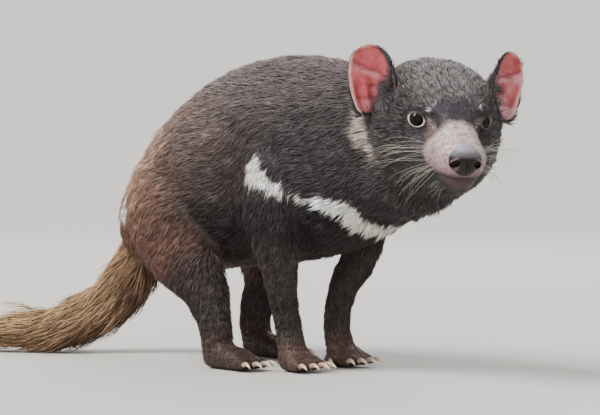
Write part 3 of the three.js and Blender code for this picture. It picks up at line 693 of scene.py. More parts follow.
MARKS = {
    # chains of balls in millimetres: x, y, z, radius, each along one mark
    "shoulder": [[69, -56, 214, 3.5], [68, -58, 204, 8.5], [70, -60, 195, 11.5], [80, -60, 191, 9],
                 [92, -57, 185, 5.5], [106, -47, 181, 2.8]],
    "speck": [[60, -64, 178, 3.2], [66, -64, 175, 2.2]],
    "thin": [[92, -58, 181, 5.0], [104, -50, 177, 4.2], [114, -41, 173, 5.0]],
    "chest": [[114, -41, 168, 2.5], [135, -38, 170, 6.5], [152, -32, 165, 10], [168, -24, 160, 11],
              [168, -10, 148, 12], [170, 6, 142, 11.5], [173, 26, 141, 11.5], [168, 46, 150, 7],
              [158, 60, 162, 3]],
    "rump": [[-147, -46, 180, 5], [-153, -42, 163, 8], [-158, -34, 148, 8], [-166, -16, 150, 7],
             [-170, 2, 156, 4]],
}
TAN_PATCH = [
    # a chain like these, on the coat below the right ear
    [196, -37, 256, 8], [200, -45, 243, 11], [214, -46, 228, 9], [226, -46, 216, 5],
]
BROW_TUFTS = [
    # two chains of two balls each, in the head's frame
    [12.4, -23.0, 12.0, 1.7], [12.8, -17.0, 19.0, 0.7], [9.0, 29.2, 13.7, 1.0], [8.0, 26.5, 18.0, 0.4],
]
EAR_ROOT = np.array([-30, 45, 12])  # middle and half sizes of the near-black coat beside the ear
EAR_DARK = np.array([26, 14, 30])
FACE_EDGE = [
    # edge of the bare muzzle, in the head's frame: height z, and x where the coat ends
    [-60, 74], [-50, 58], [-44, 50], [-39, 42], [-31, 33], [-22, 25], [-15, 19.5], [-8, 24.5], [0, 30],
    [6, 32], [12, 37],
]


def inside_chain(points, balls):
    """How far inside a chain of balls points lie: radius less distance, along its nearest link."""
    balls = np.array(balls, float)
    best = np.full(len(points), -1e3)
    for a, b in zip(balls[:-1], balls[1:]):
        link = b[:3] - a[:3]
        t = np.clip((points - a[:3]) @ link / max(link @ link, 1e-9), 0, 1)
        far = np.linalg.norm(points - a[:3] - t[:, None] * link, axis=1)
        best = np.maximum(best, a[3] + t * (b[3] - a[3]) - far)
    return best


def blend(colour, other, share):
    """One colour, or each point's own, turned into another by each point's share."""
    return colour + np.subtract(other, colour) * share[:, None]


def face_share(h):
    """1 on the bare pale muzzle, 0 behind its edge, which runs lower and further forward."""
    x, _, z = h.T
    edge = np.interp(z, *np.transpose(FACE_EDGE)) + 1.6 * ripple(h, 16, 11) + 1.4 * ripple(h, 5, 12)
    return ease(x, edge - 6, edge + 6)


def marks_share(r):
    """1 on the white marks, with edges as ragged as the ends of the hair."""
    ragged = 2.2 * ripple(r, 9, 21) + 1.6 * ripple(r, 3.5, 22)
    inside = np.max([inside_chain(r, balls) for balls in MARKS.values()], axis=0)
    return ease(inside + ragged, -1.2, 1.6)


def colour_at(points):
    """Colour of the coat or skin at places in the row frame, by body region and height."""
    r = points / MM
    h = in_head(points)
    x, y, z = r.T
    ahead, aside, above = h.T
    uneven = ripple(r, 60, 31)
    colour = blend(INK, SHANK, fade(z, 110, 150))
    colour = blend(colour, SHADE, ease(z + 14 * uneven, 125, 205))
    colour = blend(colour, FLANK, ease(-x + 14 * uneven, -110, 10) * ease(z, 140, 200))
    # The top of the back: browner hair with painted sheen where the light falls on it from above, strongest
    # over the loins.
    colour = blend(colour, BACK_WITH_SHEEN, ease(z + 0.22 * (-x) + 12 * uneven, 215, 285) * ease(x, 260, 150))
    colour = blend(colour, LOIN_SHEEN, 0.6 * ease(-x + 14 * uneven, -45, 50) * ease(z, 185, 245))
    rear = ease(-x + 0.25 * (230 - z) + 20 * uneven, 30, 165)
    colour = blend(colour, RUST, 0.9 * rear * ease(z + 8 * uneven, 92, 166))
    # Painted sheen: a pale band along the rump's upper rear edge, where backlit brown hair catches the light.
    rump = ease(-x + 0.30 * (z - 190) + 18 * uneven, 78, 165)
    colour = blend(colour, REAR_SHEEN, 0.85 * rump * ease(z, 140, 205))
    leg = ease(-x + 0.45 * (230 - z) + 12 * uneven, 58, 112) * fade(z, 118, 180)
    colour = blend(colour, THIGH, 0.8 * (leg * ease(z + 8 * uneven, 62, 118)))
    t = tail_places[((points[:, None] - tail_centres[::3]) ** 2).sum(-1).argmin(1) * 3]
    centre, _, _, top, half = tail_frame(t)
    height = ((points - centre) * top).sum(1) / half[:, 1]
    tail = ease(t, 0.02, 0.16) * ease(-x, 130, 175)
    # Painted light and shade on the brown tail: lighter along its top, where the light falls, and dark
    # beneath, next to the floor.
    tone = blend(SHADED_TAIL_BELOW, TAIL_SIDE, ease(height + 0.25 * uneven, -0.75, 0.05))
    tone = blend(tone, LIT_TAIL_TOP, ease(height + 0.3 * uneven, 0.05, 0.75))
    tone = blend(tone, TAIL_ROOT, 0.85 * fade(t, 0.14, 0.36))
    colour = blend(colour, tone, tail)

    head = ease(ahead, -62, -48)
    crown = head * ease(above - 0.25 * np.abs(aside), 8, 30) * fade(ahead, 0, 16)
    crown = crown * (1 - 0.8 * ease(np.abs(aside) + 6 * uneven, 17, 38))
    colour = blend(colour, GREY, crown * (0.75 + 0.25 * uneven))
    forehead = ease(ahead, 3, 12) * fade(above, 16, 25) * fade(np.abs(aside - 2), 19, 27)
    forehead = forehead * ease(above, -8, 0)
    colour = blend(colour, BLUE_BLACK, 0.9 * forehead)
    for side in SIDES:
        beside_ear = np.exp(-(((h - EAR_ROOT * [1, side, 1]) / EAR_DARK) ** 2).sum(1))
        colour = blend(colour, INK * 1.3, 0.85 * beside_ear)
    cheek = ease(ahead, -52, -30) * np.maximum(fade(above, -8, 8), ease(np.abs(aside), 24, 38))
    colour = blend(colour, INK, 0.55 * cheek)
    bare = face_share(h)
    spots = ease(ripple(h, 5.5, 41) + 0.6 * ripple(h, 2.4, 42), -0.1, 0.9)
    muzzle = blend(MUZZLE, MUZZLE_SPOT, 0.8 * spots)
    muzzle = blend(muzzle, MUZZLE_SIDE, 0.9 * ease(-above + 0.25 * np.abs(aside), 14, 34))
    muzzle = blend(muzzle, MUZZLE_SPOT, 0.8 * ease(ripple(h, 9, 45), 0.1, 1.0))
    muzzle = blend(muzzle, FOLLICLE, 0.6 * ease(-follicles(h), 0.35, 0.9))
    low = ease(-over_lips(h), -8.5, 0.5)
    muzzle = blend(muzzle, CHIN_SKIN, low)
    colour = blend(colour, muzzle, bare)
    for side in SIDES:
        across, rise, out, _ = eye_view(h, side)
        along = 0.92 * (across - 15.5) - 0.39 * (rise + 2)
        beside = 0.39 * (across - 15.5) + 0.92 * (rise + 2)
        tear = np.exp(-((along / 9.5) ** 4) - ((beside / 4.6) ** 2)) * (out > -8)
        furrow = blend(MUZZLE_SPOT, MUZZLE, ease(ripple(h, 3.2, 46 + side), -0.3, 0.7))
        colour = blend(colour, 1.2 * furrow, 0.97 * tear)
        bristly = mound((across, 17, 6), (rise, -10, 4.5)) * (out > -8)
        colour = blend(colour, BRISTLE, 0.75 * bristly)
    brow = np.max([inside_chain(h, BROW_TUFTS[k:k + 2]) for k in (0, 2)], axis=0)
    colour = blend(colour, WHITE * 0.9, ease(brow + 0.6 * ripple(h, 2.5, 43), -0.8, 1.0))
    tan = ease(inside_chain(r, TAN_PATCH) + 4 * ripple(r, 8, 44), -4, 5)
    colour = blend(colour, TAN, 0.85 * tan)
    marks = marks_share(r)
    pale = blend(WHITE, CREAM, 0.8 * ease(y, -22, -6) * (x > 100))
    colour = blend(colour, pale, marks)
    paws = fade(z + 4 * uneven, 22, 46) * (x > -130) * (np.abs(y) < 110)
    colour = blend(colour, PAW, 0.85 * paws)
    return blend(colour, 0.62 * colour, paws * fade(x, 60, 78))


def set_tone(mesh, colours):
    """Keeps a colour for each point of a mesh in its attribute named tone."""
    layer = mesh.color_attributes.new(name="tone", type="FLOAT_COLOR", domain="POINT")
    layer.data.foreach_set("color", np.c_[colours, np.ones(len(colours))].astype(np.float32).ravel())


def set_map(mesh, spots):
    """Lays a mesh out on its OFBake map, with one spot for each point."""
    layer = mesh.uv_layers.new(name="OFBake")
    corners = listed(mesh.loops, "vertex_index")
    layer.uv.foreach_set("vector", spots[corners].astype(np.float32).ravel())


def node(tree, kind, **inputs):
    """A new node of a kind, with constants set on its sockets by name."""
    made = tree.nodes.new(kind)
    for socket, value in inputs.items():
        made.inputs[socket.replace("_", " ")].default_value = value
    return made


def toned(tree, shader, speckle=0.0, speckle_size=400):
    """Links the tone attribute, with an optional fine speckle, to a shader's base colour."""
    tone = tree.nodes.new("ShaderNodeAttribute")
    tone.attribute_name = "tone"
    source = tone.outputs["Color"]
    if speckle:
        place = tree.nodes.new("ShaderNodeTexCoord")
        grain = node(tree, "ShaderNodeTexNoise", Scale=speckle_size, Detail=3.0)
        spread = node(tree, "ShaderNodeMapRange", From_Min=0.3, From_Max=0.7,
                      To_Min=1 - speckle, To_Max=1 + speckle)
        mix = tree.nodes.new("ShaderNodeVectorMath")
        mix.operation = "MULTIPLY"
        tree.links.new(place.outputs["Object"], grain.inputs["Vector"])
        tree.links.new(grain.outputs["Fac"], spread.inputs["Value"])
        tree.links.new(source, mix.inputs[0])
        tree.links.new(spread.outputs["Result"], mix.inputs[1])
        source = mix.outputs["Vector"]
    tree.links.new(source, shader.inputs["Base Color"])


def grain_bump(tree, shader, size, depth, kind="ShaderNodeTexNoise", strength=0.6):
    """A fine bump on Object coordinates: noise or cells of a size in metres."""
    place = tree.nodes.new("ShaderNodeTexCoord")
    pattern = node(tree, kind, Scale=1 / size)
    bump = node(tree, "ShaderNodeBump", Strength=strength, Distance=depth)
    tree.links.new(place.outputs["Object"], pattern.inputs["Vector"])
    height = "Distance" if kind == "ShaderNodeTexVoronoi" else "Fac"
    tree.links.new(pattern.outputs[height], bump.inputs["Height"])
    tree.links.new(bump.outputs["Normal"], shader.inputs["Normal"])


skin_finish, tree, shader = material("skin", Roughness=0.52, Specular_IOR_Level=0.4)
toned(tree, shader, 0.22, 500)
grain_bump(tree, shader, 0.0011, 0.0005, "ShaderNodeTexVoronoi", 0.5)
points = points_of(skin.data)
colours = colour_at(points)
skin_lie, skin_sizes, skin_number = (
    listed(skin.data.attributes[name].data, "vector", 3, np.float32).astype(float) for name in FIELDS)
h = in_head(points)
opening = nearest_opening(h)
rise = np.max([np.where(eye_view(h, s)[2] > 1, eye_view(h, s)[1], -99) for s in SIDES], axis=0)
colours = blend(colours, INK * 1.2, ease(opening, 0.80, 0.92) * fade(opening, 1.6, 1.95))
rim = (0.95 - 0.78 * ease(rise, 0, 4.5)) * ease(opening, 0.90, 1.02) * fade(opening, 1.38, 1.58)
colours = blend(colours, RIM, rim)
colours = blend(colours, INK, fade(opening, 0.80, 0.9) * 0.9)
lip_line = over_lips(h)
lips = mound((lip_line, 0, 0.9)) * ease(h[:, 0], LIP_CORNER, LIP_CORNER + 8)
colours = blend(colours, INK * 1.6, 0.85 * lips)
# Painted shade: where the coat grows, the skin under it is darkened to 0.45 of its colour, for the shade of
# the hair over it.
haired = ease(skin_number[:, 0], 0.05, 0.15) * (1 - face_share(h)) * ease(opening, 1.65, 1.95)
colours = blend(colours, 0.45 * colours, haired)
set_tone(skin.data, colours)
for name in FIELDS:
    skin.data.attributes.remove(skin.data.attributes[name])
skin.data.polygons.foreach_set("use_smooth", np.ones(len(skin.data.polygons), bool))
skin.data.materials.clear()
skin.data.materials.append(skin_finish)
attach(skin, "root")
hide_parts(*FLESH, "tail_root", "tail_middle", "tail_tip")


# Eyes: glossy balls as big as the real ones, nearly all dark brown iris, with a wide pupil and a
# slightly bulging cornea. The lids of the skin hold them.

EYE_RINGS = (56, 64, 0.02)  # rings, places round them, and the gap at the poles
CORNEA = {"half_angle": 0.75, "bulge": 0.55}
IRIS = np.array([0.008, 0.004, 0.003])
PUPIL = (0.003, 0.002, 0.002)
EYE_WHITE = (0.35, 0.30, 0.28)
PUPIL_ANGLE = 0.30
IRIS_ANGLE = 0.62


def eyeball(side, word):
    """A sphere in rings about the gaze, pushed out over the cornea by bulge * cos^2 of the angle's
    share of the cornea's."""
    a, b = globe(*EYE_RINGS)
    inside = np.clip(a / CORNEA["half_angle"], 0, 1)
    radius = EYE_RADIUS + CORNEA["bulge"] * np.cos(inside * np.pi / 2) ** 2
    gaze = np.array([math.cos(GAZE_OUT), side * math.sin(GAZE_OUT), 0])
    level = np.array([gaze[1], -gaze[0], 0])
    ways = (np.cos(a)[..., None] * gaze + (np.sin(a) * np.cos(b))[..., None] * level
            + (np.sin(a) * np.sin(b))[..., None] * [0, 0, 1])
    local = (ways * radius[..., None]).reshape(-1, 3)
    poles = gaze * np.array([[EYE_RADIUS + CORNEA["bulge"]], [-EYE_RADIUS]])
    local = np.concatenate([local, poles])
    obj = piece(f"eye_{word}_ball", from_head(eye_places[side] + local), *tube_faces(*a.shape))
    angles = np.concatenate([a.ravel(), [0, np.pi]])
    iris = ease(angles, PUPIL_ANGLE - 0.03, PUPIL_ANGLE + 0.03)
    iris = iris * fade(angles, IRIS_ANGLE - 0.05, IRIS_ANGLE + 0.05)
    streak = 0.75 + 0.25 * np.sin(np.concatenate([b.ravel(), [0, 0]]) * 23)
    white = ease(angles, 1.0, 1.15)
    colours = PUPIL + iris[:, None] * IRIS * streak[:, None]
    set_tone(obj.data, blend(colours, EYE_WHITE, white))
    return obj


eye_gloss, tree, shader = material("eye_gloss", Roughness=0.04, Specular_IOR_Level=0.13)
toned(tree, shader)
for side, word in SIDES.items():
    ball = eyeball(side, word)
    ball.data.materials.append(eye_gloss)
    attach(ball, "root")
    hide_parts(f"eye_{word}")


# Nose: a bare moist pad, black, with a painted reflection of the sky in grey on its top, a groove
# down its middle and two comma-shaped nostrils that run out to its sides.

NOSE_RINGS = (90, 120, 0.015)
NOSE_SHADES = {
    # the first two are a painted reflection of the sky on the pad's top, the wing a painted wet glint, the
    # nostril painted shade in the hollows
    "sky": (0.25, 0.235, 0.28),
    "grey": (0.10, 0.092, 0.11),
    "black": (0.008, 0.006, 0.006),
    "wing": (0.15, 0.085, 0.08),
    "nostril": (0.006, 0.004, 0.004),
}
NOSTRIL = {"apart": 10.2, "below": 3.6, "long": 3.6, "high": 3.0, "deep": 5.5, "slope": 0.4}


def nose_pad():
    """An ellipsoid in rings about its front, whose section is squared a little, with hollows
    exp(-(r^2)^1.8) deep for nostrils, a raised wing round each, and a groove in the middle."""
    a, b = globe(*NOSE_RINGS)
    y, z = np.sin(a) * np.sin(b), np.sin(a) * np.cos(b)
    square = (np.abs(np.cos(b)) ** 2.4 + np.abs(np.sin(b)) ** 2.4) ** (-1 / 2.4)
    local = np.stack([np.cos(a), y * square, z * square], -1).reshape(-1, 3)
    local = np.concatenate([local, [[1, 0, 0], [-1, 0, 0]]]) * NOSE_HALF
    x, y, z = local.T
    front = ease(x, 0.5, 3.5)
    wings = 0
    for side in SIDES:
        dy = (y - side * NOSTRIL["apart"]) * side
        dz = z + NOSTRIL["below"] + NOSTRIL["slope"] * dy + 0.06 * dy**2
        inside = (dy / np.where(dy > 0, 1.5, 1.0) / NOSTRIL["long"]) ** 2 + (dz / NOSTRIL["high"]) ** 2
        wings = wings + 1.1 * mound((np.sqrt(inside), 1.55, 0.5)) - NOSTRIL["deep"] * np.exp(-(inside**1.8))
    groove = -1.1 * mound((y, 0, 0.7)) * ease(-z, -1, 3)
    top = 0.8 * mound((z, 8, 3.5), (y, 0, 9))
    local = local + np.stack([(wings + groove) * front + top, 0 * y, 0 * z], -1)
    local[:, 1] *= nose_taper(local[:, 2])
    obj = piece("nose_pad", from_head(NOSE_MIDDLE + local), *tube_faces(*a.shape))
    hollow = mound((np.minimum(0, wings), 0, 2))
    # Painted light on the black pad: a reflection of the sky in grey on its top, a wet glint on the nostrils'
    # wings, and shade in the nostrils' hollows.
    shade = blend(NOSE_SHADES["sky"], NOSE_SHADES["grey"], ease(-z, -11.5, -6.0))
    shade = blend(shade, NOSE_SHADES["black"], ease(-z, -6.0, -1.5))
    shade = blend(shade, NOSE_SHADES["wing"], 0.8 * mound((wings, 0.9, 0.5)) * front * ease(np.abs(y), 7, 11))
    shade = blend(shade, NOSE_SHADES["nostril"], (1 - hollow) * front)
    set_tone(obj.data, shade)
    return obj


nose_skin, tree, shader = material("nose_skin", Roughness=0.36, Specular_IOR_Level=0.22,
                                   Coat_Weight=0.04, Coat_Roughness=0.2)
toned(tree, shader, 0.12, 900)
grain_bump(tree, shader, 0.0009, 0.00035, "ShaderNodeTexVoronoi", 0.7)
nose = nose_pad()
nose.data.materials.append(nose_skin)
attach(nose, "root")
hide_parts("nose")


# Ears: thin skin bent into a cup with a rounded rim, red and nearly bare inside, where the blood
# shows through, and dark-haired behind. Low folds run up from the root.

EAR_HEIGHT = 60
EAR_THICKNESS = 2.2
EAR_RISES, EAR_PLACES = 64, 44  # steps up the cup and across it
EAR_AT = np.array([-0.22, 0.385, 0.03]) * HEAD_LENGTH / MM
EAR_OUT = {-1: 0.34, 1: 0.42}
EAR_FORWARD = 0.05
EAR_OPEN = 0.6
EAR_ROWS = np.array([
    # rise, half width and depth of the cup, as shares of the ear's height
    [-0.10, 0.24, 0.33], [0.0, 0.31, 0.315], [0.1, 0.345, 0.30], [0.28, 0.375, 0.24], [0.5, 0.38, 0.18],
    [0.72, 0.34, 0.12], [0.88, 0.25, 0.07], [0.965, 0.14, 0.025], [1.0, 0.03, 0.005],
])
EAR_SHADES = {
    "red": (0.37, 0.068, 0.075),
    "pink": (0.55, 0.27, 0.30),
    "deep": (0.27, 0.035, 0.038),
    # painted shade in the creases, and painted light on the folds beside them
    "crease": (0.17, 0.020, 0.024),
    "fold": (0.47, 0.20, 0.235),
    "rim": (0.62, 0.36, 0.33),
    "back": (0.050, 0.036, 0.036),
}
EAR_FOLDS = [
    # dark creases of painted shade in the cup, from the outer side inwards: place across and up, width, depth
    # of tone
    ((0.90, 0.80), (-0.35, 0.50), 0.034, 0.9), ((0.55, 0.64), (-0.15, 0.56), 0.018, 0.7),
    ((0.95, 0.22), (0.05, 0.14), 0.040, 0.7), ((0.35, 0.36), (-0.55, 0.30), 0.030, 0.8),
]


def ear_turn(side):
    """The ear's own axes, forward, to the left and up, as rows in the head's frame."""
    def about(axis, angle):
        c, s = math.cos(angle), math.sin(angle)
        i, j = [(1, 2), (2, 0), (0, 1)][axis]
        turn = np.eye(3)
        turn[i, i] = turn[j, j] = c
        turn[i, j], turn[j, i] = -s, s
        return turn
    return (about(2, side * EAR_OPEN) @ about(0, -side * EAR_OUT[side]) @ about(1, -EAR_FORWARD)).T


def ear_section(u, rise, wide, deep):
    """The hollow front face and the way out of the ear's back, at places u from -1 to 1 across."""
    front = np.stack([deep * (u * u - 1) - 0.1 * rise, u * wide, rise], -1)
    back = unit(np.stack([-wide, 2 * deep * u, 0 * u], -1))
    return front, back


def ear_cup(side, word):
    """Closed sections of front and back face from the root up, with a rim rounded as the root of
    1 - u^6, folds and a ridge on the front face, and the last section closed to a point."""
    rows = smooth_line(EAR_ROWS, np.linspace(0, 1, EAR_RISES))
    across = np.cos(np.linspace(np.pi, 0, EAR_PLACES))
    rise, u = np.meshgrid(rows[:, 0], across, indexing="ij")
    wide, deep = rows[:, 1][:, None] + 0 * u, rows[:, 2][:, None] + 0 * u
    front, back = ear_section(u, rise, wide, deep)
    share = np.clip(rise, 0, 1)
    edge = np.sqrt(np.clip(1 - u**6, 0, 1)) * np.sqrt(np.clip(1 - share**9, 0.0, 1))
    thick = (0.25 + 0.75 * edge) * EAR_THICKNESS / EAR_HEIGHT * (1 + 0.9 * fade(rise, 0, 0.3))
    folds = 0.026 * np.sin((u * side * 1.0 + 0.35 * rise) * 13) * fade(share, 0.25, 0.66) * edge
    ridge = 0.034 * mound((u * side + 0.62 - 0.35 * share, 0, 0.13)) * fade(share, 0.3, 0.6)
    wave = 0.016 * np.sin(u * 5 + rise * 9) * edge * ease(share, 0.2, 0.5)
    inner = front - back * (folds + ridge + wave)[..., None]
    outer = inner + back * thick[..., None]
    ring = np.concatenate([inner, outer[:, ::-1]], axis=1) * EAR_HEIGHT
    ends = ring[[0, -1]].mean(axis=1)
    local = np.concatenate([ring.reshape(-1, 3), ends])
    points = from_head(EAR_AT * [1, side, 1] + local @ ear_turn(side))
    quads, caps = tube_faces(len(rows), ring.shape[1])
    obj = piece(f"ear_{word}_cup", points, quads, caps)
    inside = np.concatenate([np.ones_like(u), np.zeros_like(u)], axis=1).ravel()
    uu = np.concatenate([u, u[:, ::-1]], axis=1).ravel()
    rr = np.concatenate([rise, rise], axis=1).ravel()
    blood = ripple(np.stack([uu * 20, rr * 60, 0 * uu], -1), 16, 51 + side)
    red = blend(EAR_SHADES["red"], EAR_SHADES["pink"], ease(blood + 0.7 + 0.35 * side - 1.5 * rr, 0, 1.2))
    red = blend(red, EAR_SHADES["deep"], ease(-blood, 0.1, 1.1))
    outer_side = uu * side  # 1 on the edge away from the crown
    for (start, start_rise), (end, end_rise), width, depth in EAR_FOLDS:
        off_line = rr - np.interp(outer_side, [end, start], [end_rise, start_rise])
        on_line = ease(outer_side, end - 0.1, end + 0.15) * fade(outer_side, start - 0.1, start + 0.1)
        # Painted shade in each crease, and painted light on the fold beside it.
        red = blend(red, EAR_SHADES["crease"], depth * mound((off_line, 0, width)) * on_line)
        beside = mound((off_line, -2.4 * width, 1.6 * width))
        red = blend(red, EAR_SHADES["fold"], 0.5 * depth * beside * on_line)
    pale = ease(np.abs(uu), 0.86, 0.97) + ease(rr, 0.93, 0.99)
    red = blend(red, EAR_SHADES["rim"], 0.7 * np.clip(pale, 0, 1))
    colours = blend(EAR_SHADES["back"], red, inside)
    front_edge = ease(-uu * side, 0.62, 0.86) * fade(rr, 0.86, 0.98)
    colours = blend(colours, EAR_SHADES["back"], 0.9 * front_edge)
    colours = np.concatenate([colours, colours[[0, -1]]])
    set_tone(obj.data, colours)
    places = np.stack([np.append(rr, [rr[0], rr[-1]]), np.append(uu, [0, 0]), np.append(inside, [0, 0])], -1)
    map_across = 0.25 + 0.23 * places[:, 1] + 0.5 * places[:, 2]
    set_map(obj.data, np.stack([map_across, 0.1 + 0.8 * places[:, 0]], -1))
    return obj, places


ear_cups, ear_places = {}, {}
ear_skin, tree, shader = material("ear_skin", Roughness=0.5, Specular_IOR_Level=0.35,
                                  Subsurface_Weight=0.15, Subsurface_Scale=0.5,
                                  Subsurface_Radius=(0.004, 0.0012, 0.0008))
toned(tree, shader, 0.2, 260)
grain_bump(tree, shader, 0.0016, 0.0004)
for side, word in SIDES.items():
    cup, ear_places[side] = ear_cup(side, word)
    ear_cups[side] = cup
    cup.data.materials.append(ear_skin)
    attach(cup, "root")
    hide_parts(f"ear_{word}")


# Claws: pale horn, curved down to a point from the tip of each digit, with a ridge along the top.

CLAW_LENGTH = 13
CLAW_STEPS, CLAW_ROUND = 26, 16
HORN_ROOT, HORN_TIP = (0.30, 0.20, 0.15), (0.62, 0.53, 0.42)
claw_horn, tree, shader = material("claw_horn", Roughness=0.32, Specular_IOR_Level=0.5)
toned(tree, shader, 0.12, 700)
grain_bump(tree, shader, 0.0012, 0.0002)


def claw(node_name):
    """Ovals along a parabola from inside the digit to the point, which is where the solid's is."""
    corners = points_of(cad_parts[node_name].data) / MM
    tip = corners[corners[:, 2].argmin()]
    ahead = unit((tip - corners.mean(0)) * [1, 1, 0])
    root = tip - ahead * 1.1 * CLAW_LENGTH + np.array([0, 0, 0.19 * CLAW_LENGTH])
    t = np.linspace(0, 1, CLAW_STEPS)
    rise = (0.63 * t - 0.82 * t**2) * CLAW_LENGTH
    centre = root + np.outer(t * 1.1 * CLAW_LENGTH, ahead) + np.outer(rise, [0, 0, 1])
    along = unit(np.gradient(centre, axis=0))
    side = unit(np.cross([0, 0, 1], along))
    top = np.cross(along, side)
    size = 2.25 * (1 - t**1.8) ** 0.75 + 0.12
    turn = turns(CLAW_ROUND)
    ridge = 1 + 0.12 * np.maximum(np.sin(turn), 0) ** 6
    ring = (side[:, None] * (np.cos(turn)[:, None] * 0.72) + top[:, None] * (np.sin(turn) * ridge)[:, None])
    points = np.concatenate([(centre[:, None] + ring * size[:, None, None]).reshape(-1, 3), centre[[0, -1]]])
    obj = piece(node_name + "_horn", points * MM, *tube_faces(len(t), len(turn)), made_of=claw_horn)
    share = np.concatenate([np.repeat(t, len(turn)), [0, 1]])
    set_tone(obj.data, blend(HORN_ROOT, HORN_TIP, ease(share, 0.25, 0.8)))
    return obj


for node_name in sorted(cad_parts):
    if node_name.startswith("claw"):
        horn = claw(node_name)
        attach(horn, "root")
        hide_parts(node_name)


# Coat: coarse guard hair in thousands of slim three-sided tufts that grow from the skin, rise a
# little and lie back over one another. Neighbours lean together in locks. Each tuft takes its
# colour from the markings half way along it, and has a patch of the map at its root's place.

PATCH = 0.003  # size of one tuft on the OFBake map
LOCK_CELL = 7.5  # spacing of the locks, in millimetres
SUNK = 0.8  # how deep a root lies in the skin
FLOOR_GAP = 0.4  # no point of a tuft lies lower
SWIRL, SWIRL_SIZE = 0.20, 0.075  # how far the coat's way wanders, and over what length in metres
BEND_ROUNDS = 6
MOST_FACES = 199000
# a painted highlight on the tips of the hair, where the light catches it
HIGHLIGHT_TIP = np.array([0.42, 0.37, 0.36])
dice = np.random.default_rng(7)


def triangles_of(mesh):
    """Corner points and corner loops of a mesh's triangles."""
    mesh.calc_loop_triangles()
    return listed(mesh.loop_triangles, "vertices", 3), listed(mesh.loop_triangles, "loops", 3)


def bending(points, ways, edges, lie):
    """How fast the surface curves away along the hair: over each edge the change of the normal per
    length, weighed by how far the edge follows the hair."""
    a, b = edges.T
    step = points[b] - points[a]
    length = np.maximum(np.linalg.norm(step, axis=1), 1e-7)
    curve = ((ways[b] - ways[a]) * step).sum(1) / length**2
    total, weight = np.zeros(len(points)), np.full(len(points), 1e-6)
    for end in (a, b):
        share = ((step * lie[end]).sum(1) / length) ** 2
        total += np.bincount(end, curve * share, len(points))
        weight += np.bincount(end, share, len(points))
    return np.clip(total / weight, -12, 55)


def crop(mesh, number, **fields):
    """Random roots over a mesh, so many to the mm2, with their place on its map and the values of
    its points' fields there, each weighed over the root's triangle."""
    points = points_of(mesh)
    corners, loops = triangles_of(mesh)
    uv = listed(mesh.uv_layers["OFBake"].uv, "vector", 2, np.float32)[loops]
    spans = points[corners]
    sides = spans[:, 1:] - spans[:, :1]
    area = 0.5 * np.linalg.norm(np.cross(sides[:, 0], sides[:, 1]), axis=1) / MM**2
    grown = np.cumsum(area * number[corners].mean(1))
    count = int(grown[-1])
    places = (np.arange(count) + dice.random(count)) / count * grown[-1]
    triangle = np.minimum(np.searchsorted(grown, places), len(corners) - 1)
    share = dice.random((count, 2))
    share = np.where(share.sum(1)[:, None] > 1, 1 - share, share)
    share = np.c_[1 - share.sum(1), share][..., None]
    hairs = {"uv": (uv[triangle] * share).sum(1), "corner": corners[triangle, 0]}
    for name, values in {"root": points, "way": normals_of(mesh), **fields}.items():
        values = values[:, None] if values.ndim == 1 else values
        hairs[name] = (values[corners[triangle]] * share).sum(1)
        if values.shape[1] == 1:
            hairs[name] = hairs[name][:, 0]
    return hairs


def combed(hairs, cell, unruly=1.0):
    """Gathers tufts in locks: those with roots in one cell of a warped grid share a length, a rise
    and a turn, and lean to its middle. Then each gets a little disorder of its own."""
    root, way = hairs["root"], unit(hairs["way"])
    count = len(root)
    warp = np.stack([ripple(root / MM, 23, k) for k in (71, 72, 73)], -1)
    place = np.floor((root / MM + 3 * warp) / cell).astype(np.int64)
    _, lock = np.unique(place @ np.array([73856093, 19349663, 83492791]), return_inverse=True)
    locks = lock.max() + 1
    middle = np.stack([np.bincount(lock, root[:, k], locks) for k in range(3)], -1)
    middle = middle / np.bincount(lock, minlength=locks)[:, None]
    shared = dice.normal(size=(locks, 3))[lock]
    lean = middle[lock] - root
    hairs["lean"] = 0.5 * (lean - (lean * way).sum(1)[:, None] * way)
    together = (1 + 0.14 * shared[:, 0]).clip(0.7, 1.35)
    hairs["length"] = hairs["length"] * together * dice.uniform(0.75, 1.2, count)
    rise = hairs["rise"] * (1 + 0.18 * shared[:, 1]).clip(0.5, 1.6) + dice.normal(0, 3, count)
    hairs["rise"] = np.radians(rise.clip(3, 70))
    lie = unit(hairs["lie"] - (hairs["lie"] * way).sum(1)[:, None] * way)
    stray = unruly * (dice.normal(0, 0.07, count) + 0.08 * shared[:, 2])
    hairs["lie"] = unit(lie + np.cross(way, lie) * stray[:, None])
    hairs["way"], hairs["aside"] = way, np.cross(way, hairs["lie"])
    hairs["sway"] = unruly * dice.normal(0, 0.08, count) * hairs["length"]
    hairs["shared"] = shared[:, 0]
    return hairs


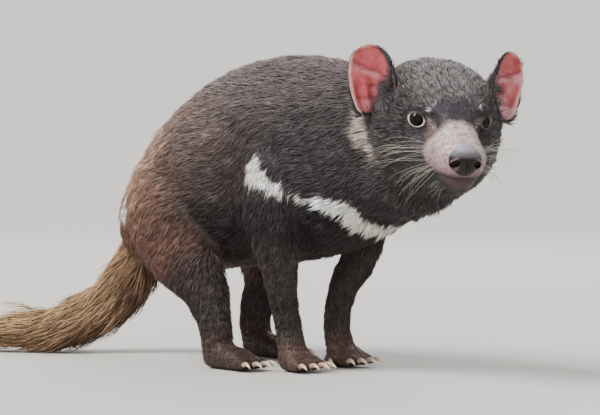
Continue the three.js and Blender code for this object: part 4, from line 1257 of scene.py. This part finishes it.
def dyed(hairs, evenness=1.0):
    """Colours from the markings half way along each tuft, a little uneven, and painted highlights: pale
    tips on the back and crown, where the light catches the hair."""
    count = len(hairs["root"])
    middle = hairs["root"] + hairs["lie"] * (0.5 * hairs["length"] * MM)[:, None]
    colours = colour_at(middle)
    brightness = np.exp(evenness * (0.22 * dice.normal(size=count) + 0.14 * hairs["shared"]))[:, None]
    white = marks_share(middle / MM)[:, None]
    colours = colours * (brightness + (1 - brightness) * 0.8 * white)
    ahead, aside, above = in_head(hairs["root"]).T
    crown = ease(ahead, -62, -45) * ease(above - 0.3 * np.abs(aside), -4, 22) * fade(ahead, 10, 24)
    cheek = ease(ahead, -62, -30) * fade(ahead, 18, 30) * (1 - crown)
    back = ease(hairs["root"][:, 2] / MM, 170, 270) * fade(ahead, -80, -50)
    # Painted highlights: every tip a little lighter, and some tufts, most on the crown and back, with pale
    # tips.
    sunny = dice.random(count) < 0.32 * back + 0.55 * crown + 0.25 * cheek + 0.08
    share = sunny * (0.42 * back + 0.85 * crown + 0.34 * cheek + 0.12)
    tips = colours * 1.25 + share[:, None] * (HIGHLIGHT_TIP - colours)
    tips = tips + white * (np.array([0.84, 0.84, 0.83]) * brightness.clip(0.8, 1.05) - tips) * 0.5
    hairs["colour"], hairs["tip"] = colours, tips
    return hairs


def tufts(name, hairs, chosen, steps, made_of):
    """Tapered tufts of three sides. Along t from 0 to 1 a tuft's spine goes t * length along the
    hair, rises by length * tan(rise) * (t - 0.45 t^2), falls away with the skin by half its
    curvature times the square of the way gone, at most a third of that way, sways by t^2 and
    leans to its lock's middle. It never goes lower than the floor."""
    root, way, lie, aside, lean, uv, colour, tip = (
        hairs[k][chosen] for k in ("root", "way", "lie", "aside", "lean", "uv", "colour", "tip"))
    length, half_wide, rise, bend, sway = (
        hairs[k][chosen, None] for k in ("length", "half_wide", "rise", "bend", "sway"))
    n = len(chosen)
    t = np.array([*steps, 1.0])
    far = length * MM * t
    fall = np.clip(0.5 * bend * far**2, -0.15 * far, 0.33 * far)
    up = far * np.tan(rise) * (1 - 0.45 * t) - fall
    up[:, 0] -= SUNK * MM
    spine = (root[:, None] + lie[:, None] * far[..., None] + way[:, None] * up[..., None]
             + aside[:, None] * (sway * MM * t**2)[..., None] + lean[:, None] * t[:, None] ** 1.5)
    wide = half_wide * MM * (1 - 0.55 * np.array(steps) ** 1.6)
    wide[:, 0] *= 0.75
    left, top = aside[:, None] * wide[..., None], way[:, None] * (0.55 * wide[..., None])
    below, line = 0.35 * top, spine[:, :-1]
    rings = np.stack([line - left - below, line + left - below, line + top], 2)
    points = np.concatenate([rings.reshape(n, -1, 3), spine[:, -1:]], axis=1)
    points[..., 2] = np.maximum(points[..., 2], FLOOR_GAP * MM)
    each = points.shape[1]
    i = np.arange(len(steps) - 1)[:, None] * 3
    j, k = np.array([0, 1, 2]), np.array([1, 2, 0])
    bands = [np.stack(band, -1) for band in ([i + j, i + k, i + 3 + k], [i + j, i + 3 + k, i + 3 + j])]
    last = 3 * (len(steps) - 1)
    end = np.stack([last + j, last + k, np.full(3, each - 1)], -1)
    faces = np.concatenate([np.concatenate(bands).reshape(-1, 3), end, [[0, 2, 1]]])
    faces = faces + each * np.arange(n)[:, None, None]
    obj = piece(name, points.reshape(-1, 3), faces.reshape(-1, 3), made_of=made_of)
    along = np.append(np.repeat(steps, 3), 1.0)
    # Painted shade and light along each tuft: darker at its root, where the coat over it shades it, lighter
    # towards its tip.
    shade = colour[:, None] * (0.62 + 0.38 * ease(along, 0, 0.4))[:, None]
    shade = shade + (tip[:, None] - shade) * ease(along, 0.35, 1.0)[:, None]
    set_tone(obj.data, shade.reshape(-1, 3))
    spot = np.stack([along, np.append(np.tile([0, 0.5, 1.0], len(steps)), 0.5)], -1) * PATCH
    set_map(obj.data, (uv[:, None] + spot).reshape(-1, 2))
    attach(obj, "root")


skin_points = points_of(skin.data)
skin_ways = normals_of(skin.data)
skin_edges = listed(skin.data.edges, "vertices", 2)
swirl = np.stack([ripple(skin_points, SWIRL_SIZE, k) for k in (61, 62, 63)], -1)
skin_lie = unit(skin_lie) + SWIRL * swirl
skin_lie = unit(skin_lie - (skin_lie * skin_ways).sum(1)[:, None] * skin_ways)
skin_bend = bending(skin_points, skin_ways, skin_edges, skin_lie)
for _ in range(BEND_ROUNDS):
    skin_bend = neighbour_mean(skin_bend[:, None], skin_edges)[:, 0]
skin_part = nearest_part(skin_points)

h = in_head(skin_points)
opening = nearest_opening(h)
nose_share = np.linalg.norm((h - NOSE_MIDDLE) / NOSE_HALF, axis=1)
lip_line = np.abs(over_lips(h))
bare = (opening < 1.68) | (nose_share < 1.12) | ((lip_line < 1.3) & (h[:, 0] > LIP_CORNER + 6))
number = skin_number[:, 0] * ~bare * (1 - 0.45 * face_share(h)) * (skin_points[:, 2] > 2.5 * MM)
size = skin_sizes.copy()
size[:, 0] *= 1 - 0.5 * fade(opening, 1.6, 2.8)
# Beside an ear the coat is shorter and leans up along the cup.
for side, cup in ear_cups.items():
    cup_points = points_of(cup.data)[::4]
    close = np.flatnonzero(np.linalg.norm(skin_points - cup_points.mean(0), axis=1) < EAR_HEIGHT * MM)
    far = np.sqrt(((skin_points[close, None] - cup_points) ** 2).sum(-1).min(1)) / MM
    beside = fade(far, 3, 17)
    skin_lie[close] += 1.5 * beside[:, None] * (ear_turn(side)[2] @ head_turn)
    size[close, 0] = size[close, 0] + beside * (np.minimum(size[close, 0], 8) - size[close, 0])
hairs = crop(skin.data, number, lie=skin_lie, length=size[:, 0], half_wide=size[:, 1], rise=size[:, 2],
             bend=skin_bend)
hairs = dyed(combed(hairs, LOCK_CELL))
root_part = skin_part[hairs["corner"]]


def through_ear(root, tip, side):
    """Whether a hair goes from behind the cup or inside its skin to in front of its hollow face:
    depths before the face at the hair's two ends, in the ear's own frame."""
    depth = []
    for points in (root, tip):
        local = (in_head(points) - EAR_AT * [1, side, 1]) @ ear_turn(side).T / EAR_HEIGHT
        rise = local[:, 2]
        wide, deep = (np.interp(rise, EAR_ROWS[:, 0], EAR_ROWS[:, k]) for k in (1, 2))
        u = local[:, 1] / np.maximum(wide, 0.02)
        depth.append(local[:, 0] - deep * (np.clip(u, -1.3, 1.3) ** 2 - 1) + 0.1 * rise)
    return (depth[0] < 0.01) & (depth[1] > -0.06) & (np.abs(u) < 1.12) & (rise > -0.12) & (rise < 1.02)


for shorter in (0.6, 0.35, 1):  # hairs that meet an ear are cut, and left out if they still do
    tips = hairs["root"] + (hairs["lie"] + 0.35 * hairs["way"]) * (hairs["length"] * MM)[:, None]
    middles = 0.5 * (tips + hairs["root"])
    meets = [through_ear(hairs["root"], end, side) for side in SIDES for end in (tips, middles)]
    free = ~np.any(meets, axis=0)
    hairs["length"] = hairs["length"] * np.where(free, 1, shorter)

coat_hair, tree, shader = material("coat_hair", Roughness=0.48, Specular_IOR_Level=0.28)
toned(tree, shader)
SECTIONS = {
    # the coat's pieces: the parts that they cover, the steps along a tuft, the slot
    "coat_head": (["head"], (0, 0.5), "dark_coat"),
    "coat_jaw": (["lower_jaw"], (0, 0.5), "dark_coat"),
    "coat_neck": (["neck"], (0, 0.5), "dark_coat"),
    "coat_trunk": (["torso"], (0, 0.5), "dark_coat"),
    "coat_rump": (["rump"], (0, 0.5), "brown_coat"),
    "coat_shoulders": (["upper_arm"], (0, 0.5), "dark_coat"),
    "coat_thighs": (["thigh"], (0, 0.5), "brown_coat"),
    "coat_forelegs": (["forearm", "forepaw"], (0, 0.5), "dark_coat"),
    "coat_hindlegs": (["shank", "hindpaw"], (0, 0.5), "dark_coat"),
    "coat_tail": (["tail"], (0, 0.35, 0.7), "brown_coat"),
}
for name, (parts, steps, slot) in SECTIONS.items():
    chosen = np.flatnonzero(free & np.isin(root_part, [names.index(word) for word in parts]))
    most = MOST_FACES // (6 * len(steps) - 2)
    for k, group in enumerate(np.array_split(chosen, -(-len(chosen) // most))):
        tufts(f"{name}_{k + 1}", hairs, group, steps, coat_hair)


# Hair of the ears: short and dark on their backs, longer round the root and up the front edge, and
# a few strands that sweep into the cup.

for side, cup in ear_cups.items():
    places = ear_places[side]  # rise, place across, 1 on the front face
    rise_at, across, inner = places.T
    up_ear = ear_turn(side)[2] @ head_turn
    out_ear = ear_turn(side)[1] @ head_turn
    front_edge = across * -side  # 1 on the edge next to the crown
    near_root = fade(rise_at, 0.12, 0.5)
    edge_hair = ease(front_edge, 0.55, 0.95)
    inwards = (inner > 0.5) * ease(front_edge, 0.35, 0.7) * fade(rise_at, 0.30, 0.44)
    lie = np.tile(up_ear, (len(places), 1)) + out_ear * (0.5 * across)[:, None] - 0.25 * head_turn[0]
    lie = lie * (1 - 0.7 * inwards)[:, None] + inwards[:, None] * (1.5 * side * out_ear + 0.3 * head_turn[0])
    number = np.where(inner > 0.5, 0.9 * ease(front_edge, 0.80, 0.95) + 0.6 * inwards, 0.75 + 0.5 * near_root)
    number = number * fade(rise_at, 0.90, 0.97)
    length = 4 + 7 * near_root * (1 - 0.6 * inwards) + 4 * edge_hair * fade(rise_at, 0.5, 0.95) + 8 * inwards
    hairs = crop(cup.data, number, lie=lie, length=length, half_wide=0.32 + 0.12 * near_root,
                 rise=np.where(inner > 0.5, 24, 12 + 14 * near_root), bend=0 * length, kind=inner)
    hairs = dyed(combed(hairs, 4.0, 1.2), 0.8)
    shade = np.array([0.040, 0.034, 0.036]) * np.exp(0.3 * dice.normal(size=(len(hairs["root"]), 1)))
    # their tips are painted lighter, as highlights
    hairs["colour"], hairs["tip"] = shade, shade * 1.6
    tufts(f"coat_ear_{SIDES[side]}", hairs, np.arange(len(hairs["root"])), (0, 0.5), coat_hair)


# Whiskers: stiff, pale and tapering, in rows on the muzzle, with smaller sets over the eyes, on
# the cheeks and under the chin. Each is a curved thin tube of four sides.

WHISKERS = [
    # place in the head's frame, for the right side: x, y, z; spread of roots; number;
    # first way and last way; shortest and longest
    ((46, -21, -22), (9, 0, 7), 13, (-0.20, -1.0, 0.12), (-1.2, -0.60, -0.75), 55, 100),
    ((46, -20, -33), (9, 0, 5), 14, (-0.30, -0.9, -0.35), (-1.1, -0.10, -1.0), 35, 72),
    ((2, -42, -28), (6, 0, 6), 7, (-0.5, -1, 0.0), (-1.2, -0.3, -0.7), 30, 58),
    ((14, -22, 15), (3, 3, 1), 3, (0.5, -0.5, 1), (-0.8, -0.8, 0.5), 14, 26),
    ((34, -12, -50), (8, 5, 0), 6, (0, -0.3, -1), (-0.8, -0.3, -0.8), 12, 24),
]
WHISKER_HALF = 0.15
WHISKER_STEPS, WHISKER_ROUND = 13, 4
WHISKER_SHADES = ((0.26, 0.24, 0.20), (0.50, 0.48, 0.41))  # at the root and at the tip
skin_tree = BVHTree.FromPolygons(skin_points.tolist(), triangles_of(skin.data)[0].tolist())


def on_skin(place):
    """The skin's point and normal nearest to a place in the head's frame."""
    found, way, _, _ = skin_tree.find_nearest(Vector(from_head(np.array(place, float))))
    return np.array(found), np.array(way)


def whisker_set(name, side):
    """Quadratic curves: from the root along the first way, bending to the last one, and tapering
    as 1 - 0.86 t^1.3, each as rings of four."""
    roots, firsts, lasts, lengths = [], [], [], []
    for place, spread, many, first, last, short, long in WHISKERS:
        offsets = dice.uniform(-1, 1, (many, 3)) * spread
        for offset in offsets:
            found, way = on_skin((np.array(place) + offset) * [1, -side, 1])
            roots.append(found - 1.0 * MM * way)
            firsts.append(unit(np.array(first) * [1, -side, 1] + dice.normal(0, 0.24, 3)) @ head_turn)
            lasts.append(unit(np.array(last) * [1, -side, 1] + dice.normal(0, 0.30, 3)) @ head_turn)
            lengths.append(dice.uniform(short, long))
    roots, firsts, lasts = map(np.array, (roots, firsts, lasts))
    t = np.linspace(0, 1, WHISKER_STEPS)
    scale = np.array(lengths)[:, None, None] * MM
    first_share, last_share = (t - 0.5 * t**2)[:, None], (0.5 * t**2)[:, None]
    centre = roots[:, None] + scale * (firsts[:, None] * first_share + lasts[:, None] * last_share)
    along = unit(np.gradient(centre, axis=1))
    side_way = unit(np.cross(along, [0.2, 0.1, 1]))
    top = np.cross(side_way, along)
    turn = turns(WHISKER_ROUND)
    half = WHISKER_HALF * MM * (1 - 0.86 * t**1.3)
    ring = side_way[:, :, None] * np.cos(turn)[:, None] + top[:, :, None] * np.sin(turn)[:, None]
    rings = centre[:, :, None] + ring * half[:, None, None]
    n = len(roots)
    points = np.concatenate([rings.reshape(n, -1, 3), centre[:, [0, -1]]], axis=1)
    each = points.shape[1]
    quads, caps = tube_faces(len(t), len(turn))
    many = each * np.arange(n)[:, None, None]
    obj = piece(name, points.reshape(-1, 3), (quads[:, ::-1] + many).reshape(-1, 4),
                (caps[:, ::-1] + many).reshape(-1, 3))
    along = np.append(np.repeat(t, WHISKER_ROUND), [0, 1])
    set_tone(obj.data, np.tile(blend(*WHISKER_SHADES, along), (n, 1)))
    return obj


whisker_hair, tree, shader = material("whisker_hair", Roughness=0.35, Specular_IOR_Level=0.5)
toned(tree, shader)
for side, word in SIDES.items():
    whiskers = whisker_set(f"whiskers_{word}", side)
    whiskers.data.materials.append(whisker_hair)
    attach(whiskers, "root")
